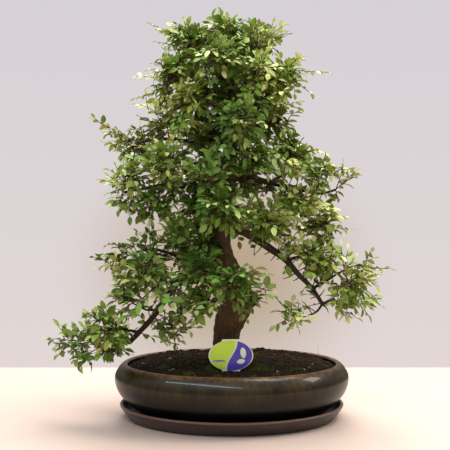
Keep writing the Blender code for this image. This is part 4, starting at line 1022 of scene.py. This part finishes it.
heads = []
sprays = sorted(name for name in frame["nodes"] if name.startswith("spray_"))
slots = {row["node"]: row["material_slot"] for row in frame["record"]["subparts"]}
for number, name in enumerate(sprays):
    rng = random.Random(number * 31 + 5)
    age = "young" if slots[name] == "leaf_young" else "old"
    root, middle, tips = spray_tips(frame["nodes"][name])
    dense = len(tips) > DENSE_TIPS
    far_tip = max(tips, key=lambda p: (p - middle).length)
    reach = sorted((p - middle).length for p in tips)[len(tips) // 2]
    spray_groups.setdefault((age, "upper" if middle.z > UPPER_FROM else "lower"), []).append(name)
    main_line = bowed(root, middle, rng, 0.05) + bowed(middle, far_tip, rng, 0.05)[1:]
    grow_shoot(main_line, age, rng, 0.55, youth=rng.uniform(0.5, 1.0), radii=(STEM_RADIUS, TWIG_RADII[1]))
    for tip in tips:
        if tip is far_tip:
            continue
        far = (tip - middle).length
        on_shoot = (tip - middle).dot(far_tip - middle) / (far_tip - middle).length_squared
        if far > 1.35 * reach or not dense:
            beside = middle + (far_tip - middle) * max(0, on_shoot)
            start = beside + (middle - far_tip).normalized() * (tip - beside).length * 0.7
            grow_shoot(bowed(start, tip, rng), age, rng, 0.45, youth=rng.uniform(0.1, 0.8), size=0.95)
        else:
            start = inside_head(root, middle, reach, rng)
            grow_shoot(bowed(start, tip, rng), age, rng, youth=max(0, rng.uniform(-0.6, 0.7)))
    if dense:
        heads.append((middle, age))
        beside = abs(middle.x - axis_at(middle.z).x)
        for k in range(round(FILL_SHOOTS * (1 - OPEN_OUTSIDE * min(1, beside / 130)))):
            out = Vector([rng.gauss(0, 1) for _ in range(3)]).normalized()
            start = inside_head(root, middle, reach, rng)
            tip = middle + out * reach * rng.uniform(0.6, 1.0)
            grow_shoot(bowed(start, tip, rng), age, rng, youth=max(0, rng.uniform(-0.8, 0.5)))

for number, (limb, ends) in enumerate(MORE_SHOOTS.items()):
    rng = random.Random(number + 400)
    for plan_end in ends:
        end = in_space(plan_end)
        root = min(limb_lines[limb][0], key=lambda p: (p - end).length)
        line = bowed(root, end, rng, 0.1)
        age = rng.choice(("old", "old", "young"))
        grow_shoot(line, age, rng, 0.2, youth=rng.uniform(0.2, 1.0), size=0.9)
        for k in range(SIDE_TWIGS):
            at = line[1] + (line[3] - line[1]) * rng.random()
            aside = Vector([rng.gauss(0, 1) for _ in range(3)]).normalized()
            tip = at + ((end - root).normalized() * 0.8 + aside).normalized() * rng.uniform(18, 32)
            grow_shoot(bowed(at, tip, rng), age, rng, 0.25, youth=max(0, rng.uniform(-0.5, 0.8)), size=0.9)

for limb, ends in STRAY_SHOOTS.items():
    rng = random.Random(limb)
    for plan_end in ends:
        end = in_space(plan_end)
        root = limb_lines[limb][0][-4]
        grow_shoot(bowed(root, end, rng, 0.06), "young", rng, 0.3, youth=rng.uniform(0.4, 1.0), size=0.85)

# In the crown, the dense heads grow into each other, and shoots from the trunk fill its middle.
for number, (here, age) in enumerate(heads):
    rng = random.Random(number + 900)
    for there, _ in heads[number + 1:]:
        if min(here.z, there.z) > UPPER_FROM and (here - there).length < BRIDGED:
            for k in range(BRIDGES):
                start = here + (there - here) * rng.uniform(0.1, 0.35)
                tip = here + (there - here) * rng.uniform(0.4, 0.75)
                tip += Vector([rng.gauss(0, 1) for _ in range(3)]).normalized() * rng.uniform(4, 20)
                grow_shoot(bowed(start, tip, rng), age, rng, youth=max(0, rng.uniform(-0.8, 0.6)))
rng = random.Random(77)
for z in range(*TRUNK_SHOOTS):
    for side in (-1, 1):
        start = axis_at(z)
        out = Vector((side * rng.uniform(0.1, 1.0), -rng.uniform(0.2, 1.0), rng.uniform(0.0, 0.8))).normalized()
        line = bowed(start, start + out * rng.uniform(34, 62), rng)
        grow_shoot(line, "old", rng, 0.35, youth=max(0, rng.uniform(-0.8, 0.5)))

# Short shoots from the bare stretches of the thinner limbs, towards the light.
for name, (line, radii) in limb_lines.items():
    if name == "trunk":
        continue
    rng = random.Random(name)
    run = 0.0
    for i in range(len(line) // 4, len(line) - 1):
        run += (line[i + 1] - line[i]).length
        if run > LIMB_SHOOTS_EVERY:
            run = 0.0
            out = (Vector([rng.gauss(0, 1) for _ in range(3)]) + UP * 0.8).normalized()
            tip = line[i] + out * rng.uniform(20, 40)
            start = line[i] + out * radii[i] * 0.5
            grow_shoot(bowed(start, tip, rng), "old", rng, 0.35, youth=max(0, rng.uniform(-0.7, 0.5)), size=0.9)

# The twigs' skins are drawn round their lines by one tree: a round section that tapers from root to tip.
twig_bark, tree, shader, place = new_material("twig bark", 0.6, specular=0.35)
twig_skin = clouded(tree, place, 160.0, 2.0, (0.045, 0.022, 0.013), (0.170, 0.085, 0.048))
tree.links.new(twig_skin["Colour"], shader.inputs["Base Color"])


def line_mesh(name, lines, values):
    """An object of loose lines with a value for each point: (attribute name, kind, function of shoot and share)."""
    points, edges, shares, owners = [], [], [], []
    for number, shoot in enumerate(lines):
        first, count = len(points), len(shoot["line"])
        points += shoot["line"]
        shares += [k / (count - 1) for k in range(count)]
        owners += [number] * count
        edges += [(first + k, first + k + 1) for k in range(count - 1)]
    mesh = bpy.data.meshes.new(name)
    mesh.from_pydata([p * MM for p in points], edges, [])
    for attribute, kind, value in values:
        data = mesh.attributes.new(attribute, kind, "POINT").data
        found = [value(lines[o], s) for o, s in zip(owners, shares)]
        if kind == "FLOAT":
            data.foreach_set("value", found)
        else:
            data.foreach_set("vector", [c for v in found for c in v])
    made = bpy.data.objects.new(name, mesh)
    scene.collection.objects.link(made)
    return made


skin, given = new_group("Twig skins", [("Sides", "NodeSocketInt"), ("Finish", "NodeSocketMaterial")])
curves = add_node(skin, "GeometryNodeMeshToCurve", {"Mesh": given["Geometry"]})
girth = add_node(skin, "GeometryNodeInputNamedAttribute", {"Name": "girth"}, data_type="FLOAT")
section = add_node(skin, "GeometryNodeCurvePrimitiveCircle", {"Resolution": given["Sides"], "Radius": 1.0})
skins = add_node(skin, "GeometryNodeCurveToMesh", {
    "Curve": curves.outputs[0], "Profile Curve": section.outputs[0], "Scale": girth.outputs[0], "Fill Caps": True})
real = add_node(skin, "GeometryNodeRealizeInstances", {"Geometry": skins.outputs[0]})
finished = add_node(skin, "GeometryNodeSetMaterial", {"Geometry": real.outputs[0], "Material": given["Finish"]})
add_node(skin, "NodeGroupOutput", {"Geometry": finished.outputs[0]})

twigs = line_mesh("twigs", twig_lines, [
    ("girth", "FLOAT", lambda twig, s: (twig["radii"][0] + (twig["radii"][1] - twig["radii"][0]) * s) * MM)])
run_group(twigs, skin, sides=5, finish=twig_bark)
keep(twigs, "bark")

# The leaves: small oval elm leaves, toothed, folded a little along the midrib and set alternately in two ranks.
# They are glossy and dark when old, thin and yellow-green at the shoot's tip.
LEAF_LONG, LEAF_WIDE = 16.5, 8.9
LEAF_SPACING = {"lower": 5.9, "upper": 5.2}
LEAF_LEAN = math.radians(56)
LEAF_SIZES = (0.58, 1.10)
# Along the blade: (share of its length, share of its half width, how far the midrib sags in millimetres).
LEAF_FORM = [
    (0.0, 0.0, 0), (0.08, 0.36, 0.1), (0.26, 0.88, 0.3), (0.50, 1.0, 0.25), (0.74, 0.77, -0.2), (0.91, 0.34, -0.9),
    (1.0, 0.0, -1.5),
]
LEAF_FOLD = 0.28

leaf_points, leaf_faces = [], []
for share, half, sag in LEAF_FORM:
    y = share * LEAF_LONG
    x = half * LEAF_WIDE / 2
    rise = x * LEAF_FOLD
    leaf_points.append(Vector((0, y, sag)))
    if half:
        leaf_points += [Vector((-x * 1.06, y - 0.4, sag + rise)), Vector((x * 0.94, y + 0.4, sag + rise))]
rows = len(LEAF_FORM) - 2
leaf_faces += [(0, 1, 2), (0, 3, 1)]
for r in range(rows - 1):
    a, b = 1 + 3 * r, 4 + 3 * r
    leaf_faces += [(a, b, b + 1, a + 1), (a, a + 2, b + 2, b)]
a = 1 + 3 * (rows - 1)
leaf_faces += [(a, a + 3, a + 1), (a, a + 2, a + 3)]
leaf = add_mesh("leaf", leaf_points, leaf_faces, bark)
leaf.data.flip_normals()
leaf_uv = leaf.data.uv_layers.new(name="UVMap")
for loop in leaf.data.loops:
    flat = leaf.data.vertices[loop.vertex_index].co / MM
    leaf_uv.data[loop.index].uv = (flat.x / LEAF_WIDE + 0.5, flat.y / LEAF_LONG)

foliage, given = new_group("Leaves along shoots", [
    ("Leaf", "NodeSocketObject"), ("Spacing", "NodeSocketFloat"), ("Lean", "NodeSocketFloat"),
    ("Smallest", "NodeSocketFloat"), ("Largest", "NodeSocketFloat"), ("Finish", "NodeSocketMaterial"),
])
curves = add_node(foliage, "GeometryNodeMeshToCurve", {"Mesh": given["Geometry"]})
nodes_at = add_node(foliage, "GeometryNodeResampleCurve", {
    "Curve": curves.outputs[0], "Length": given["Spacing"]}, mode="LENGTH")
tangent = add_node(foliage, "GeometryNodeInputTangent").outputs[0]
facing = add_node(foliage, "GeometryNodeInputNamedAttribute", {"Name": "facing"}, data_type="FLOAT_VECTOR").outputs[0]
own_size = add_node(foliage, "GeometryNodeInputNamedAttribute", {"Name": "size"}, data_type="FLOAT").outputs[0]
share = add_node(foliage, "GeometryNodeSplineParameter").outputs["Factor"]
order = add_node(foliage, "GeometryNodeInputIndex").outputs[0]
rank = calc(foliage, "MULTIPLY_ADD", calc(foliage, "MODULO", order, 2.0), 2.0, -1.0)
not_last = add_node(foliage, "ShaderNodeMapRange", {"Value": share, "From Min": 1.0, "From Max": 0.9}).outputs[0]
lean = calc(foliage, "MULTIPLY", calc(foliage, "MULTIPLY", rank, given["Lean"]), not_last)
lean = calc(foliage, "ADD", lean, random_number(foliage, -0.3, 0.3, 31))
ahead = add_node(foliage, "FunctionNodeAlignRotationToVector", {"Vector": tangent}, axis="Y")
upright = add_node(foliage, "FunctionNodeAlignRotationToVector", {
    "Rotation": ahead.outputs[0], "Vector": facing}, axis="Z", pivot_axis="Y")
swing = add_node(foliage, "ShaderNodeCombineXYZ", {"Z": lean})
swung = add_node(foliage, "FunctionNodeRotateRotation", {
    "Rotation": upright.outputs[0],
    "Rotate By": add_node(foliage, "FunctionNodeEulerToRotation", {0: swing.outputs[0]}).outputs[0],
}, rotation_space="LOCAL")
lift = add_node(foliage, "ShaderNodeCombineXYZ", {
    "X": random_number(foliage, -0.5, 0.3, 41), "Y": random_number(foliage, -0.4, 0.4, 43)})
set_at = add_node(foliage, "FunctionNodeRotateRotation", {
    "Rotation": swung.outputs[0],
    "Rotate By": add_node(foliage, "FunctionNodeEulerToRotation", {0: lift.outputs[0]}).outputs[0],
}, rotation_space="LOCAL")
chance = random_number(foliage, 0.0, 1.0, 47)
leaf_size = add_node(foliage, "ShaderNodeMapRange", {
    "Value": chance, "To Min": given["Smallest"], "To Max": given["Largest"]}).outputs[0]
tip_size = add_node(foliage, "ShaderNodeMapRange", {
    "Value": share, "From Min": 0.5, "From Max": 1.0, "To Min": 1.0, "To Max": 0.78}).outputs[0]
leaf_size = calc(foliage, "MULTIPLY", calc(foliage, "MULTIPLY", leaf_size, own_size), tip_size)
leaf_shape = add_node(foliage, "GeometryNodeObjectInfo", {"Object": given["Leaf"]}, transform_space="ORIGINAL")
on_points = add_node(foliage, "GeometryNodeInstanceOnPoints", {
    "Points": nodes_at.outputs[0], "Instance": leaf_shape.outputs["Geometry"], "Rotation": set_at.outputs[0],
    "Scale": leaf_size})
own_youth = add_node(foliage, "GeometryNodeInputNamedAttribute", {"Name": "youth"}, data_type="FLOAT").outputs[0]
aged = add_node(foliage, "GeometryNodeStoreNamedAttribute", {
    "Geometry": on_points.outputs[0], "Name": "tone", "Value": random_number(foliage, 0.0, 1.0, 53)},
    data_type="FLOAT", domain="INSTANCE")
real = add_node(foliage, "GeometryNodeRealizeInstances", {"Geometry": aged.outputs[0]})
finished = add_node(foliage, "GeometryNodeSetMaterial", {"Geometry": real.outputs[0], "Material": given["Finish"]})
add_node(foliage, "NodeGroupOutput", {"Geometry": finished.outputs[0]})


def leaf_finish(name, dark, middle, light, young):
    """Leaf material: its green varies at random from leaf to leaf and is painted paler where the shoot gets the light.
    It turns to the young green at the shoot's tip, with a paler midrib and underside."""
    made, tree, shader, place = new_material(name, 0.45, specular=0.09)
    tone = add_node(tree, "ShaderNodeAttribute", attribute_name="tone").outputs["Fac"]
    light_share = add_node(tree, "ShaderNodeAttribute", attribute_name="light").outputs["Fac"]
    vivid = add_node(tree, "ShaderNodeMapRange", {"Value": tone, "From Min": 0.90, "From Max": 0.93}).outputs[0]
    # Painted light: the shoot's light share sets most of the green, pale in the light and dark in the shade.
    tone = calc(tree, "ADD", calc(tree, "MULTIPLY", tone, 0.22), calc(tree, "MULTIPLY", light_share, 0.8))
    youth = add_node(tree, "ShaderNodeAttribute", attribute_name="youth").outputs["Fac"]
    green = mix_colours(tree, calc(tree, "MULTIPLY", tone, 2.0, clamp=True), dark, middle)
    green = mix_colours(tree, calc(tree, "MULTIPLY_ADD", tone, 2.0, -1.0, clamp=True), green, light)
    green = mix_colours(tree, calc(tree, "MULTIPLY", vivid, 0.6), green, (0.17, 0.42, 0.035))
    green = mix_colours(tree, youth, green, young)
    cast = clouded(tree, place, 24.0, 2.6, (0.62, 1.0, 1.0), (1.13, 1.03, 0.9))
    green = add_node(tree, "ShaderNodeMix", {0: 1.0, 6: green, 7: cast["Colour"]},
                     data_type="RGBA", blend_type="MULTIPLY").outputs[2]
    uv = add_node(tree, "ShaderNodeSeparateXYZ", {
        0: add_node(tree, "ShaderNodeUVMap", uv_map="UVMap").outputs[0]}).outputs
    off_rib = calc(tree, "ABSOLUTE", calc(tree, "SUBTRACT", uv["X"], 0.5))
    rib = add_node(tree, "ShaderNodeMapRange", {
        "Value": off_rib, "From Min": 0.06, "From Max": 0.02, "To Max": 0.35}).outputs[0]
    green = mix_colours(tree, rib, green, light)
    under = add_node(tree, "ShaderNodeNewGeometry").outputs["Backfacing"]
    pale = mix_colours(tree, 0.18, green, (0.16, 0.26, 0.04))
    tree.links.new(mix_colours(tree, under, green, pale), shader.inputs["Base Color"])
    veins = calc(tree, "SINE", calc(tree, "MULTIPLY_ADD", off_rib, -34.0, calc(tree, "MULTIPLY", uv["Y"], 60.0)))
    height = calc(tree, "MULTIPLY_ADD", rib, 3.0, veins)
    bump(tree, shader, height, 0.25, 0.25)
    return made


leaf_finishes = {
    "old": leaf_finish("leaf, old", (0.004, 0.068, 0.004), (0.172, 0.246, 0.038), (0.410, 0.415, 0.100),
                       (0.94, 0.84, 0.38)),
    "young": leaf_finish("leaf, young", (0.020, 0.115, 0.009), (0.255, 0.330, 0.050), (0.540, 0.530, 0.130),
                         (0.96, 0.89, 0.46)),
}
for (age, storey), lines in leaf_lines.items():
    leaves = line_mesh(f"leaves_{age}_{storey}", lines, [
        ("facing", "FLOAT_VECTOR", lambda shoot, s: shoot["facing"]),
        ("youth", "FLOAT", lambda shoot, s: max(0.0, min(1.0, shoot["youth"] * (0.25 + 1.1 * s * s)))),
        ("light", "FLOAT", lambda shoot, s: shoot["light"] * (0.6 + 0.5 * s)),
        ("size", "FLOAT", lambda shoot, s: shoot["size"]),
    ])
    run_group(leaves, foliage, leaf=leaf, spacing=LEAF_SPACING[storey] * MM, lean=LEAF_LEAN, smallest=LEAF_SIZES[0],
              largest=LEAF_SIZES[1], finish=leaf_finishes[age])
    keep(leaves, "leaf_" + age, *spray_groups[age, storey])
bpy.data.objects.remove(leaf)

low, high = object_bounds()
